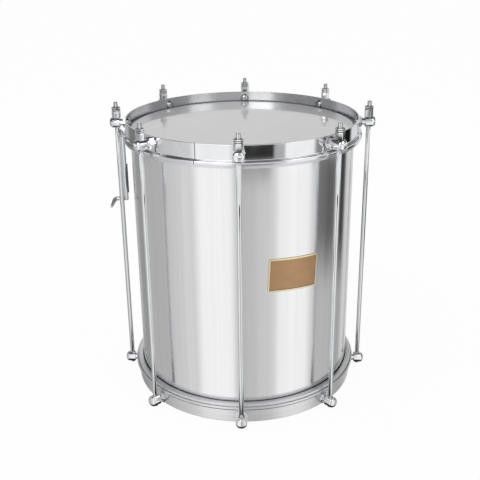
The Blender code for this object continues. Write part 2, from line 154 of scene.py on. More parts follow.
class Graph:
    """Adds nodes to the tree of a material, the world or a modifier."""

    def __init__(self, tree: bpy.types.NodeTree) -> None:
        """Keep the tree."""
        self.tree = tree

    def node(self, kind: str, settings: dict | None = None, inputs: dict | None = None,
             output: str | int = 0) -> Socket:
        """Add one node.

        Args:
            kind: The node's type.
            settings: Its properties, which are set first.
            inputs: Values or links by the socket's name or place.
            output: The output that is returned.

        Returns:
            The asked output.
        """
        made = self.tree.nodes.new(kind)
        for name, value in (settings or {}).items():
            setattr(made, name, value)
        for key, value in (inputs or {}).items():
            if isinstance(value, Socket):
                self.tree.links.new(value.output, made.inputs[key])
            else:
                made.inputs[key].default_value = value
        return Socket(self, made.outputs[output]) if made.outputs else Socket(self, None)

    def maths(self, operation: str, *values: Socket | float) -> Socket:
        """Return the result of an operation on values in order."""
        return self.node("ShaderNodeMath", {"operation": operation}, dict(enumerate(values)))

    def position(self) -> Socket:
        """Return the piece's own coordinates."""
        return self.node("ShaderNodeTexCoord", output="Object")

    def parts(self, vector: Socket) -> tuple[Socket, Socket, Socket]:
        """Return a vector's three parts."""
        split = self.node("ShaderNodeSeparateXYZ", None, {0: vector})
        return split, split.out("Y"), split.out("Z")

    def scaled(self, vector: Socket, scale: tuple[float, float, float]) -> Socket:
        """Return a vector stretched along its axes."""
        return self.node("ShaderNodeVectorMath", {"operation": "MULTIPLY"}, {0: vector, 1: scale})

    def dot(self, vector: Socket, direction: tuple[float, float, float]) -> Socket:
        """Return how far a vector reaches along a direction."""
        inputs = {0: vector, 1: direction}
        return self.node("ShaderNodeVectorMath", {"operation": "DOT_PRODUCT"}, inputs, "Value")

    def plan_radius(self, place: Socket) -> Socket:
        """Return a place's distance from the drum's axis."""
        inputs = {0: self.scaled(place, (1.0, 1.0, 0.0))}
        return self.node("ShaderNodeVectorMath", {"operation": "LENGTH"}, inputs, "Value")

    def noise(self, vector: Socket, scale: tuple[float, float, float], detail: float = 2.0) -> Socket:
        """Return smooth noise between 0 and 1, stretched by a frequency for each axis."""
        inputs = {"Vector": self.scaled(vector, scale), "Scale": 1.0, "Detail": detail, "Roughness": 0.55}
        return self.node("ShaderNodeTexNoise", {"noise_dimensions": "3D"}, inputs)

    def tint(self, factor: Socket | float, first: Socket | Colour, second: Socket | Colour) -> Socket:
        """Return a colour between two others."""
        ends = [colour if isinstance(colour, Socket) else (*colour, 1.0) for colour in (first, second)]
        return self.node("ShaderNodeMix", {"data_type": "RGBA"}, {0: factor, 6: ends[0], 7: ends[1]}, 2)

    def bump(self, height: Socket, distance: float) -> Socket:
        """Return a normal from a height in units of the distance."""
        return self.node("ShaderNodeBump", None, {"Height": height, "Distance": distance, "Strength": 1.0})

    def lead(self, shader: bpy.types.Node, **values: Socket) -> None:
        """Link values to a shader's inputs, written with underscores for spaces."""
        for name, value in values.items():
            self.tree.links.new(value.output, shader.inputs[name.replace("_", " ")])


def polar(radius: float, angle: float, height: float = 0.0) -> Vector:
    """Return a point at a radius and an angle round the Z axis."""
    return Vector((radius * math.cos(angle), radius * math.sin(angle), height))


def scaled_colour(colour: Colour, factor: float) -> Colour:
    """Return a colour made lighter or darker, up to full white."""
    return tuple(min(1.0, value * factor) for value in colour)


@dataclass(frozen=True)
class Finish:
    """A plain surface that the other finishes build on."""

    name: str
    slot: str
    colour: Colour
    roughness: float
    metallic: float = 0.0

    def material(self) -> bpy.types.Material:
        """Return the finish as a material, made once.

        Returns:
            The material.
        """
        made = bpy.data.materials.get(self.name)
        if made is None:
            made = bpy.data.materials.new(self.name)
            made.use_nodes = True
            graph = Graph(made.node_tree)
            shader = made.node_tree.nodes["Principled BSDF"]
            shader.inputs["Base Color"].default_value = (*self.colour, 1.0)
            shader.inputs["Roughness"].default_value = self.roughness
            shader.inputs["Metallic"].default_value = self.metallic
            self.pattern(graph, shader)
        return made

    def pattern(self, graph: Graph, shader: bpy.types.Node) -> None:
        """Add what varies over the surface.

        Args:
            graph: The material's graph.
            shader: Its shader.
        """


def seam_line(graph: Graph, place: Socket, azimuth: float, half_width: float) -> Socket:
    """Return 1 along the upright weld that closes a ring of sheet, and 0 elsewhere.

    Args:
        graph: The material's graph.
        place: The piece's own coordinates.
        azimuth: The weld's angle round the drum, in degrees.
        half_width: Half the width of the line.

    Returns:
        The line's mask.
    """
    angle = math.radians(azimuth)
    along = graph.dot(place, polar(1.0, angle))
    across = graph.dot(place, polar(1.0, angle + math.pi / 2))
    side = across.maths("ABSOLUTE").band(half_width, half_width + 0.25 * MM, 1.0, 0.0)
    return side * along.band(0.0, 10 * MM)


def rod_distance(graph: Graph, place: Socket) -> Socket:
    """Return the distance from the nearest rod's axis.

    Args:
        graph: The material's graph.
        place: The piece's own coordinates.

    Returns:
        The distance.
    """
    x, y, _ = graph.parts(place)
    azimuth = y.maths("ARCTAN2", x)
    spacing = math.tau / ROD_COUNT
    off = azimuth - (azimuth / spacing).maths("ROUND") * spacing
    radius = graph.plan_radius(place)
    across = off.maths("SINE") * radius
    outward = off.maths("COSINE") * radius - ROD_CIRCLE
    return (across * across + outward * outward).maths("SQRT")


@dataclass(frozen=True)
class BrushedSheet(Finish):
    """Sheet metal with the streaks of its brushing, and painted shade at its foot and a welded seam where
    asked.
    """

    metallic: float = 1.0
    grain: Grain = Grain.UPRIGHT
    streak: float = 0.04
    foot: float = 0.0
    foot_fade: float = 4.5 * MM
    foot_shade: float = 0.45
    seam_azimuth: float | None = None

    def pattern(self, graph: Graph, shader: bpy.types.Node) -> None:
        """Streak colour, roughness and height along the grain.

        Args:
            graph: The material's graph.
            shader: Its shader.
        """
        place = graph.position()
        height = graph.noise(place, self.grain.value, 3.0)
        broad = graph.noise(place, tuple(value / 12 for value in self.grain.value))
        smear = graph.noise(place, (16.0, 16.0, 9.0), 3.0)
        streaks = height * 0.45 + broad * 0.55
        dark = scaled_colour(self.colour, 1 - self.streak)
        colour = graph.tint(streaks.band(0.30, 0.70), dark, scaled_colour(self.colour, 1 + self.streak))
        roughness = streaks.band(0.25, 0.75, self.roughness - 0.03, self.roughness + 0.03)
        # Painted shade: the colour darkens towards the sheet's lower end, fully below the foot height and
        # fading out above it.
        if self.foot > 0.0:
            rise = graph.parts(place)[2]
            shade = rise.band(self.foot, self.foot + self.foot_fade, self.foot_shade, 0.0)
            colour = graph.tint(shade, colour, SHADE_AT_SHELL_FOOT)
        if self.seam_azimuth is not None:
            height = height - seam_line(graph, place, self.seam_azimuth, 0.2 * MM) * 12.0
        graph.lead(shader, Base_Color=colour, Roughness=roughness + (smear - 0.5) * 0.04,
                   Normal=graph.bump(height, 0.0012 * MM))


@dataclass(frozen=True)
class Chrome(Finish):
    """Bright plating with faint polishing marks, handling smears and slow waves in the metal."""

    metallic: float = 1.0
    grain: Grain = Grain.FINE
    wave: float = 0.12 * MM
    wave_frequency: float = 30.0
    inner_radius: float = 0.0
    inner_level: float = 1.0
    groove_radius: float = 0.0
    seam_azimuth: float | None = None

    def pattern(self, graph: Graph, shader: bpy.types.Node) -> None:
        """Vary roughness and height; darken and roughen a ring's inside, paint shade into a groove and darken
        a seam where asked.

        Args:
            graph: The material's graph.
            shader: Its shader.
        """
        place = graph.position()
        marks = graph.noise(place, self.grain.value)
        smear = graph.noise(place, (45.0, 45.0, 45.0), 4.0)
        waves = graph.noise(place, (self.wave_frequency,) * 3, 1.0)
        roughness = self.roughness + marks.band(0.45, 0.8) * 0.035 + smear.band(0.5, 0.75) * 0.05
        colour = graph.tint(smear.band(0.35, 0.75), self.colour, scaled_colour(self.colour, 0.93))
        height = waves + marks * 0.02
        if self.inner_radius > 0.0:
            edge = self.inner_radius + 0.4 * MM
            inside = graph.plan_radius(place).band(self.inner_radius, edge, 1.0, 0.0)
            colour = graph.tint(inside, colour, scaled_colour(self.colour, self.inner_level))
            roughness = roughness + inside * 0.12
        # Painted shade: the surface near the rod's axis, the grooves' floors and the faces round the bore, is
        # darkened almost to black.
        if self.groove_radius > 0.0:
            edge = self.groove_radius + 0.1 * MM
            close = rod_distance(graph, place).band(self.groove_radius, edge, 1.0, 0.0)
            colour = graph.tint(close * 0.9, colour, SHADE_IN_GROOVE)
        if self.seam_azimuth is not None:
            seam = seam_line(graph, place, self.seam_azimuth, 0.25 * MM)
            height = height - seam * 1.5
            colour = graph.tint(seam * 0.85, colour, SHADE_IN_SEAM)
        graph.lead(shader, Base_Color=colour, Roughness=roughness, Normal=graph.bump(height, self.wave))


@dataclass(frozen=True)
class HeadFilm(Finish):
    """Smooth white film under a clear gloss, with a very fine mottle."""

    def pattern(self, graph: Graph, shader: bpy.types.Node) -> None:
        """Mottle colour, roughness and height, and lay the gloss over them.

        Args:
            graph: The material's graph.
            shader: Its shader.
        """
        place = graph.position()
        cloud = graph.noise(place, (18.0, 18.0, 18.0), 3.0)
        speck = graph.noise(place, (1400.0, 1400.0, 1400.0))
        slow = graph.noise(place, (25.0, 25.0, 25.0), 1.0)
        colour = graph.tint(cloud.band(0.3, 0.7), self.colour, scaled_colour(self.colour, 0.95))
        for name, value in (("Coat Weight", 1.0), ("Coat Roughness", 0.04), ("Specular IOR Level", 0.15)):
            shader.inputs[name].default_value = value
        graph.lead(shader, Base_Color=colour, Roughness=self.roughness + (cloud - 0.5) * 0.10 + speck * 0.04,
                   Normal=graph.bump(slow + speck * 0.02, 0.15 * MM))


@dataclass(frozen=True)
class PlateBronze(Finish):
    """Satin bronze face with a pale gold rim and a shallow groove of painted shade at the rim's foot, on the
    plate's own map.
    """

    metallic: float = 1.0
    rim_colour: Colour = (0.84, 0.72, 0.46)
    width: float = 58.0 * MM
    height: float = 37.0 * MM
    rim: float = 1.6 * MM
    line_inset: float = 0.35 * MM

    def pattern(self, graph: Graph, shader: bpy.types.Node) -> None:
        """Gild the rim, brush the face along its width and darken a line at the rim's foot.

        Args:
            graph: The material's graph.
            shader: Its shader.
        """
        place = graph.node("ShaderNodeTexCoord", output="UV")
        across, upward, _ = graph.parts(place)
        side = (0.5 - (across - 0.5).maths("ABSOLUTE")) * self.width
        inset = side.maths("MINIMUM", (0.5 - (upward - 0.5).maths("ABSOLUTE")) * self.height)
        gilt = inset.band(self.rim, self.rim + 0.25 * MM, 1.0, 0.0)
        # The line at the rim's foot is a shallow groove in the bump, with painted shade in it.
        off_line = (inset - (self.rim + self.line_inset)).maths("ABSOLUTE")
        line = off_line.band(0.08 * MM, 0.20 * MM, 1.0, 0.0)
        brush = graph.noise(place, (5.0, 420.0, 1.0), 3.0)
        cloud = graph.noise(place, (3.0, 4.0, 1.0), 3.0)
        marks = (brush * 0.5 + cloud * 0.5).band(0.3, 0.7)
        face = graph.tint(marks, scaled_colour(self.colour, 0.86), self.colour)
        colour = graph.tint(line, graph.tint(gilt, face, self.rim_colour), SHADE_AT_PLATE_RIM)
        graph.lead(shader, Base_Color=colour, Roughness=self.roughness + brush * 0.10 - gilt * 0.15,
                   Normal=graph.bump(brush * 0.1 - line, 0.05 * MM))


@dataclass(frozen=True)
class DarkRubber(Finish):
    """Dull rubber with a fine pebble and paler scuffs."""

    def pattern(self, graph: Graph, shader: bpy.types.Node) -> None:
        """Scuff the colour and pebble the height.

        Args:
            graph: The material's graph.
            shader: Its shader.
        """
        place = graph.position()
        pebble = graph.noise(place, (2200.0, 2200.0, 2200.0))
        scuff = graph.noise(place, (160.0, 160.0, 60.0), 4.0).band(0.52, 0.72)
        colour = graph.tint(scuff, self.colour, scaled_colour(self.colour, 2.2))
        graph.lead(shader, Base_Color=colour, Roughness=self.roughness + scuff * 0.1,
                   Normal=graph.bump(pebble, 0.08 * MM))


# The shell carries painted shade up to 24 mm above the lower hoop's rim, fading out above that.
SHELL_SHEET = BrushedSheet("shell_sheet", "shell_aluminium", (0.82, 0.82, 0.83), 0.16,
                           foot=24.0 * MM, seam_azimuth=90.0)
FLESH_BAR = BrushedSheet("flesh_hoop_bar", "flesh_hoop_aluminium", (0.74, 0.75, 0.76), 0.42,
                         grain=Grain.ROUND)
HOOP_CHROME = Chrome("hoop_plating", "hoop_chrome", (0.78, 0.79, 0.80), 0.05, grain=Grain.ROUND,
                     inner_radius=130.9 * MM, inner_level=0.84, seam_azimuth=250.5)
HOOP_SATIN = BrushedSheet("lower_hoop_brushed", "hoop_chrome", (0.74, 0.74, 0.75), 0.33, grain=Grain.ROUND,
                          streak=0.07, seam_azimuth=100.0)
LUG_CHROME = Chrome("lug_plating", "lug_chrome", (0.82, 0.83, 0.84), 0.04)
ROD_CHROME = Chrome("rod_plating", "rod_chrome", (0.76, 0.77, 0.78), 0.06)
# The nuts carry painted shade near the rod's axis, in their grooves and round the bore.
NUT_CHROME = Chrome("nut_plating", "nut_chrome", (0.78, 0.79, 0.80), 0.05, groove_radius=4.33 * MM)
SCREW_STEEL = Chrome("screw_plating", "screw_steel", (0.55, 0.56, 0.58), 0.20)
HOOK_CHROME = Chrome("hook_plating", "hook_wire", (0.76, 0.77, 0.78), 0.34)
HEAD_WHITE = HeadFilm("head_film_white", "head_film", (0.53, 0.53, 0.54), 0.16)
PLATE_FACE = PlateBronze("plate_face", "plate_bronze", (0.50, 0.31, 0.17), 0.40)
SLEEVE_DARK = DarkRubber("sleeve_dark", "sleeve_rubber", (0.12, 0.12, 0.12), 0.50)


@dataclass(frozen=True)
class Layout:
    """Radii and heights that the sub-assemblies share."""

    shell_radius: float = 127.0 * MM
    shell_length: float = 298.0 * MM
    film: float = 0.3 * MM
    flesh_inner: float = 129.0 * MM
    flesh_width: float = 5.0 * MM
    hoop_inner: float = 130.7 * MM
    hoop_sheet: float = 1.5 * MM
    hoop_wall: float = 16.5 * MM
    hoop_skirt_drop: float = 4.4 * MM
    head_recess: float = 11.4 * MM
    lug_drop: float = 8.2 * MM
    lug_radius: float = 6.3 * MM
    rod_circle: float = ROD_CIRCLE
    rod_radius: float = 2.65 * MM
    rod_count: int = ROD_COUNT

    @property
    def height(self) -> float:
        """Distance between the rims of the two hoops."""
        return self.shell_length + 2 * self.shell_edge

    @property
    def shell_edge(self) -> float:
        """Depth of the shell's end below a rim."""
        return self.head_recess + self.film + GAP

    @property
    def hoop_outer(self) -> float:
        """Outer radius of a hoop's wall."""
        return self.hoop_inner + self.hoop_sheet

    @property
    def flesh_top(self) -> float:
        """Depth of a flesh hoop below a rim."""
        return self.hoop_wall + self.hoop_sheet + GAP

    @property
    def lug_top(self) -> float:
        """Height of the upper lugs' axes."""
        return self.height - self.lug_drop

    def angle(self, number: int) -> float:
        """Return a rod's angle round the drum, in radians."""
        return math.tau * (number - 1) / self.rod_count

    def rod_point(self, number: int, height: float) -> Vector:
        """Return a point on a rod's axis."""
        return polar(self.rod_circle, self.angle(number), height)

    def ring(self, name: str, section: list[Point], end: End, closed: bool = True) -> bpy.types.Mesh:
        """Turn a section at one end of the drum.

        Args:
            name: The mesh's name.
            section: Radius and height of each point, drawn below a rim that is at 0.
            end: The end of the drum.
            closed: Whether the section is a closed loop.

        Returns:
            The shaded mesh in its place.
        """
        if end is End.BATTER:
            placed = [(radius, self.height + depth) for radius, depth in section]
        else:
            placed = [(radius, -depth) for radius, depth in section]
        mesh = turned(name, placed, RING_STEPS, closed=closed)
        shade(mesh)
        return mesh


def linked(name: str, data: bpy.types.Mesh | bpy.types.Curve) -> bpy.types.Object:
    """Put a mesh or curve in the scene.

    Args:
        name: The object's name.
        data: Its mesh or curve.

    Returns:
        The object.
    """
    item = bpy.data.objects.new(name, data)
    bpy.context.scene.collection.objects.link(item)
    return item


def baked(item: bpy.types.Object) -> bpy.types.Mesh:
    """Carry an object's modifiers out, apply its place and remove it.

    Args:
        item: The object.

    Returns:
        Its finished mesh.
    """
    bpy.context.view_layer.update()
    graph = bpy.context.evaluated_depsgraph_get()
    mesh = bpy.data.meshes.new_from_object(item.evaluated_get(graph))
    mesh.transform(item.matrix_world)
    bpy.data.objects.remove(item, do_unlink=True)
    return mesh


def mesh_of(shape: bmesh.types.BMesh, name: str, outwards: bool = True) -> bpy.types.Mesh:
    """Turn a finished shape into a mesh.

    Args:
        shape: The shape, which is used up.
        name: The mesh's name.
        outwards: Whether its faces are turned outwards first.

    Returns:
        The mesh.
    """
    if outwards:
        bmesh.ops.recalc_face_normals(shape, faces=shape.faces)
    mesh = bpy.data.meshes.new(name)
    shape.to_mesh(mesh)
    shape.free()
    return mesh


def shade(mesh: bpy.types.Mesh, angle: float = 32.0) -> None:
    """Shade a mesh smooth with its true edges kept sharp."""
    mesh.shade_smooth()
    mesh.set_sharp_from_angle(angle=math.radians(angle))


def show(mesh: bpy.types.Mesh, name: str, finish: Finish, body: str, nodes: list[str]) -> bpy.types.Object:
    """Make a finished piece of a mesh.

    Args:
        mesh: The piece's mesh, in its place.
        name: The piece's name.
        finish: Its surface.
        body: The body that it rides on.
        nodes: The plain solids that it stands for.

    Returns:
        The piece.
    """
    mesh.materials.clear()
    mesh.materials.append(finish.material())
    piece = linked(name, mesh)
    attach(piece, body)
    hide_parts(*nodes)
    LOG.info("%s: %d faces", name, len(mesh.polygons))
    return piece


def arc_corner(before: Vector, corner: Vector, after: Vector, radius: float, pieces: int) -> list[Vector]:
    """Return the points that round one corner of a line.

    Args:
        before: The point before the corner.
        corner: The corner.
        after: The point after it.
        radius: The radius, made smaller where a run is too short for it.
        pieces: Number of straight pieces in the arc.

    Returns:
        The arc's points in order.
    """
    back = before - corner
    on = after - corner
    half = back.angle(on) / 2
    reach = min(radius / math.tan(half), MOST_OF_RUN * back.length, MOST_OF_RUN * on.length)
    centre = corner + (back.normalized() + on.normalized()).normalized() * (reach / math.cos(half))
    first = corner + back.normalized() * reach - centre
    last = corner + on.normalized() * reach - centre
    sweep = first.angle(last)
    points = []
    for step in range(pieces + 1):
        share = step / pieces
        mix = first * math.sin((1 - share) * sweep) + last * math.sin(share * sweep)
        points.append(centre + mix / math.sin(sweep))
    return points


def filleted(points: list[Point], radius: float, pieces: int) -> list[Vector]:
    """Round the inner corners of an open line.

    Args:
        points: The line's ends and corners.
        radius: Radius of the corners.
        pieces: Number of straight pieces in each corner.

    Returns:
        The rounded line.
    """
    corners = [Vector(point) for point in points]
    line = [corners[0]]
    for before, corner, after in zip(corners, corners[1:], corners[2:]):
        line += arc_corner(before, corner, after, radius, pieces)
    return line + [corners[-1]]


def eased(loop: list[Point], radius: float, pieces: int = 2) -> list[Point]:
    """Round the sharp corners of a closed section.

    Args:
        loop: The section's points.
        radius: Radius of the corners.
        pieces: Number of straight pieces in each corner.

    Returns:
        The eased section.
    """
    corners = [Vector(point) for point in loop]
    result = []
    for index, corner in enumerate(corners):
        before = corners[index - 1]
        after = corners[(index + 1) % len(corners)]
        turn = math.pi - (before - corner).angle(after - corner)
        if turn > SHARP_TURN:
            result += arc_corner(before, corner, after, radius, pieces)
        else:
            result.append(corner)
    return [(point.x, point.y) for point in result]


def sheet_section(line: list[Vector], thickness: float) -> list[Point]:
    """Close the middle line of a sheet into its section.

    Args:
        line: The middle line.
        thickness: The sheet's thickness.

    Returns:
        The section, one side after the other.
    """
    sides: tuple[list[Point], list[Point]] = ([], [])
    for index, point in enumerate(line):
        runs = []
        if index > 0:
            runs.append((point - line[index - 1]).normalized())
        if index < len(line) - 1:
            runs.append((line[index + 1] - point).normalized())
        normals = [Vector((-run.y, run.x)) for run in runs]
        middle = sum(normals, Vector((0.0, 0.0))).normalized()
        offset = middle * (thickness / 2 / middle.dot(normals[0]))
        sides[0].append(tuple(point + offset))
        sides[1].append(tuple(point - offset))
    return sides[0] + sides[1][::-1]


def held(section: list[Point], margin: float = 0.2 * MM) -> list[Point]:
    """Add points near both ends of a section's long runs, so that bends don't soften the flats between.

    Args:
        section: Points of the closed section.
        margin: Distance of each added point from the run's end. A long run is over six of them.

    Returns:
        The section with its added points.
    """
    result: list[Point] = []
    for start, end in zip(section, section[1:] + section[:1]):
        result.append(start)
        run = Vector(end) - Vector(start)
        if run.length > 6 * margin:
            step = run.normalized() * margin
            result += [tuple(Vector(start) + step), tuple(Vector(end) - step)]
    return result


def turned(name: str, section: list[Point], steps: int, closed: bool = True,
           phase: float = 0.0) -> bpy.types.Mesh:
    """Turn a section round the Z axis.

    Args:
        name: The mesh's name.
        section: Radius and height of each point. An open section starts and ends on the axis.
        steps: Number of facets.
        closed: Whether the section is a closed loop.
        phase: Angle of the first row of points.

    Returns:
        The closed mesh, with its faces outwards.
    """
    shape = bmesh.new()
    rows = []
    for radius, height in section:
        if radius < 1e-7:
            rows.append([shape.verts.new((0.0, 0.0, height))] * steps)
            continue
        angles = [phase + math.tau * step / steps for step in range(steps)]
        rows.append([shape.verts.new(polar(radius, angle, height)) for angle in angles])
    pairs = list(zip(rows, rows[1:]))
    if closed:
        pairs.append((rows[-1], rows[0]))
    for upper, lower in pairs:
        for step in range(steps):
            after = (step + 1) % steps
            corners = []
            for corner in (upper[step], lower[step], lower[after], upper[after]):
                if corner not in corners:
                    corners.append(corner)
            if len(corners) > 2:
                shape.faces.new(corners)
    return mesh_of(shape, name)


def carved(base: bpy.types.Mesh, cuts: list[tuple[str, bpy.types.Mesh]],
           bevel: float = 0.0) -> bpy.types.Mesh:
    """Cut or join a mesh with others.

    Args:
        base: The mesh to start from.
        cuts: Operations with the meshes that cut or join, in order.
        bevel: Width of the bevel on the base's sharp edges before it is cut.

    Returns:
        The finished mesh.
    """
    item = linked("carved", base)
    if bevel > 0.0:
        ease = item.modifiers.new("ease", "BEVEL")
        ease.width = bevel
        ease.segments = 2
        ease.limit_method = "ANGLE"
        ease.angle_limit = BEVEL_TURN
    cutters = []
    for operation, mesh in cuts:
        cutter = linked("cutter", mesh)
        boolean = item.modifiers.new(operation.lower(), "BOOLEAN")
        boolean.operation = operation
        boolean.solver = "EXACT"
        boolean.object = cutter
        cutters.append(cutter)
    mesh = baked(item)
    for cutter in cutters:
        bpy.data.objects.remove(cutter, do_unlink=True)
    return mesh


def cylinder(radius: float, low: float, high: float, steps: int) -> bpy.types.Mesh:
    """Return a closed cylinder on the Z axis, with a facet towards +X."""
    section = [(0.0, high), (radius, high), (radius, low), (0.0, low)]
    return turned("cylinder", section, steps, closed=False, phase=math.pi / steps)


class GeometryTree:
    """A recipe for a mesh, with named inputs."""

    def __init__(self, name: str) -> None:
        """Start an empty recipe.

        Args:
            name: The recipe's name.
        """
        self.group = bpy.data.node_groups.new(name, "GeometryNodeTree")
        self.group.interface.new_socket("Geometry", in_out="OUTPUT", socket_type="NodeSocketGeometry")
        self.graph = Graph(self.group)
        self.entry = self.group.nodes.new("NodeGroupInput")
        self.exit = self.group.nodes.new("NodeGroupOutput")

    def input(self, name: str, kind: str) -> Socket:
        """Add a named input and return it."""
        self.group.interface.new_socket(name, in_out="INPUT", socket_type=f"NodeSocket{kind}")
        return Socket(self.graph, self.entry.outputs[name])

    def finish(self, geometry: Socket, material: Socket) -> None:
        """End the recipe: make the copies real and give them their finish.

        Args:
            geometry: What the recipe has made.
            material: The input that brings its finish.
        """
        real = self.graph.node("GeometryNodeRealizeInstances", None, {0: geometry})
        dressed = self.graph.node("GeometryNodeSetMaterial", None, {"Geometry": real, "Material": material})
        self.group.links.new(dressed.output, self.exit.inputs[0])

    def run(self, name: str, values: dict) -> bpy.types.Mesh:
        """Make a mesh with the values given for the inputs.

        Args:
            name: The new mesh's name.
            values: Input names with their values.

        Returns:
            The baked mesh.
        """
        item = linked(name, bpy.data.meshes.new(name))
        modifier = item.modifiers.new("tree", "NODES")
        modifier.node_group = self.group
        for socket in self.group.interface.items_tree:
            if socket.in_out == "INPUT" and socket.name in values:
                modifier[socket.identifier] = values[socket.name]
        mesh = baked(item)
        mesh.name = name
        return mesh


def ring_tree() -> GeometryTree:
    """Write the recipe that sets copies of a piece round the drum's axis.

    Returns:
        The recipe.
    """
    tree = GeometryTree("round_the_drum")
    graph = tree.graph
    piece = tree.input("Piece", "Object")
    count = tree.input("Count", "Int")
    radius = tree.input("Radius", "Float")
    height = tree.input("Height", "Float")
    first = tree.input("First Angle", "Float")
    roll = tree.input("Roll", "Float")
    spin = tree.input("Spin", "Float")
    material = tree.input("Finish", "Material")
    index = graph.node("GeometryNodeInputIndex")
    angle = first + index * math.tau / count
    x = angle.maths("COSINE") * radius
    y = angle.maths("SINE") * radius
    place = graph.node("ShaderNodeCombineXYZ", None, {"X": x, "Y": y, "Z": height})
    points = graph.node("GeometryNodePoints", None, {"Count": count, "Position": place})
    turn = graph.node("ShaderNodeCombineXYZ", None, {"X": roll, "Z": angle + spin})
    shape = graph.node("GeometryNodeObjectInfo", None, {"Object": piece}, "Geometry")
    copies = graph.node("GeometryNodeInstanceOnPoints", None,
                        {"Points": points, "Instance": shape, "Rotation": turn})
    tree.finish(copies, material)
    return tree


def thread_tree() -> GeometryTree:
    """Write the recipe that rolls a screw thread on a round bar along the Z axis.

    Returns:
        The recipe.
    """
    tree = GeometryTree("rolled_thread")
    graph = tree.graph
    radius = tree.input("Radius", "Float")
    depth = tree.input("Depth", "Float")
    pitch = tree.input("Pitch", "Float")
    length = tree.input("Length", "Float")
    around = tree.input("Steps Round", "Int")
    along = tree.input("Steps Along", "Int")
    material = tree.input("Finish", "Material")
    bar = graph.node("GeometryNodeMeshCylinder", {"fill_type": "TRIANGLE_FAN"},
                     {"Vertices": around, "Side Segments": along, "Radius": radius, "Depth": length}, "Mesh")
    x, y, z = graph.parts(graph.node("GeometryNodeInputPosition"))
    turn = y.maths("ARCTAN2", x) / math.tau
    phase = (z / pitch - turn + 100.0).maths("FRACT")
    groove = (phase * 2.0 - 1.0).maths("ABSOLUTE").band(0.15, 0.85)
    end = length * 0.5 - z.maths("ABSOLUTE")
    taper = ((pitch - end) / pitch).maths("MAXIMUM", 0.0)
    shrink = 1.0 - (groove * depth + taper * depth * 1.4) / radius
    narrowed = graph.node("ShaderNodeCombineXYZ", None, {"X": x * shrink, "Y": y * shrink, "Z": z})
    threaded = graph.node("GeometryNodeSetPosition", None, {"Geometry": bar, "Position": narrowed})
    tree.finish(threaded, material)
    return tree


@dataclass
class Shell:
    """The metal shell, its ends turned in over rounded bearing edges."""

    layout: Layout
    wall: float = 1.2 * MM
    edge_radius: float = 3.0 * MM
    edge_pieces: int = 8
    lip: float = 5.0 * MM

    def build(self) -> bpy.types.Mesh:
        """Turn the shell's section.

        Returns:
            The shell's mesh.
        """
        middle = self.wall / 2
        inner = self.layout.shell_radius - self.lip
        side = self.layout.shell_radius - middle
        top = self.layout.height - self.layout.shell_edge - middle
        bottom = self.layout.shell_edge + middle
        corners = [(inner, top), (side, top), (side, bottom), (inner, bottom)]
        line = filleted(corners, self.edge_radius - middle, self.edge_pieces)
        mesh = turned("shell_sheet", held(sheet_section(line, self.wall)), RING_STEPS)
        shade(mesh)
        return mesh

    def dress(self) -> None:
        """Show the shell in its sheet metal."""
        show(self.build(), "shell_tube", SHELL_SHEET, Body.DRUM.value, ["shell"])


@dataclass
class Head:
    """A film head and the flesh hoop that holds its hem."""

    layout: Layout
    end: End
    edge_radius: float = 3.0 * MM
    edge_pieces: int = 8
    flare: float = 2.8 * MM
    hem: float = 3.0 * MM
    bar_height: float = 5.7 * MM
    bar_lip: float = 0.8 * MM
    bar_bevel: float = 1.5 * MM
    bar_room: float = 0.9 * MM
    bar_foot: float = 1.5 * MM
    bar_ease: float = 0.25 * MM
    film_rings: tuple[float, ...] = (0.0, 30.0 * MM, 60.0 * MM, 90.0 * MM, 110.0 * MM)
    film_bend_start: float = 116.0 * MM

    def film(self) -> bpy.types.Mesh:
        """Turn the film: flat face, bearing edge, flared collar and hem.

        Returns:
            The film's mesh.
        """
        middle = self.layout.film / 2
        side = self.layout.shell_radius + GAP + middle
        surface = -self.layout.head_recess - middle
        mouth = -(self.layout.flesh_top - GAP)
        hem_radius = self.layout.flesh_inner + self.bar_lip + GAP + middle
        bend = self.edge_radius + GAP + middle
        flat = [Vector((radius, surface)) for radius in self.film_rings]
        line = [(self.film_bend_start, surface), (side, surface), (side, mouth + self.flare)]
        corner = filleted(line, bend, self.edge_pieces)
        tail = [Vector((hem_radius, mouth)), Vector((hem_radius, -self.layout.flesh_top - self.hem))]
        section = sheet_section(flat + corner + tail, self.layout.film)
        return self.layout.ring(f"{self.end.value}_film", section, self.end, closed=False)

    def bar(self) -> bpy.types.Mesh:
        """Turn the flesh hoop with its slot for the hem and its foot close round the shell.

        Returns:
            The bar's mesh.
        """
        outer = self.layout.flesh_inner + self.layout.flesh_width
        inner = self.layout.flesh_inner
        top = -self.layout.flesh_top
        low = top - self.bar_height
        floor = top - self.hem - GAP
        slot_inner = inner + self.bar_lip
        slot_outer = slot_inner + self.layout.film + 2 * GAP
        near = self.layout.shell_radius + self.bar_room
        section = [(outer - self.bar_bevel, top), (outer, top - self.bar_bevel), (outer, low), (near, low),
                   (near, low + self.bar_foot), (inner, low + 2 * self.bar_foot), (inner, top),
                   (slot_inner, top), (slot_inner, floor), (slot_outer, floor), (slot_outer, top)]
        return self.layout.ring(f"{self.end.value}_bar", eased(section, self.bar_ease), self.end)

    def dress(self) -> None:
        """Show the film and its flesh hoop."""
        name = self.end.value
        show(self.film(), f"{name}_head_film", HEAD_WHITE, Body.DRUM.value, [f"{name}_head"])
        show(self.bar(), f"{name}_flesh_hoop_bar", FLESH_BAR, Body.DRUM.value, [f"{name}_flesh_hoop"])


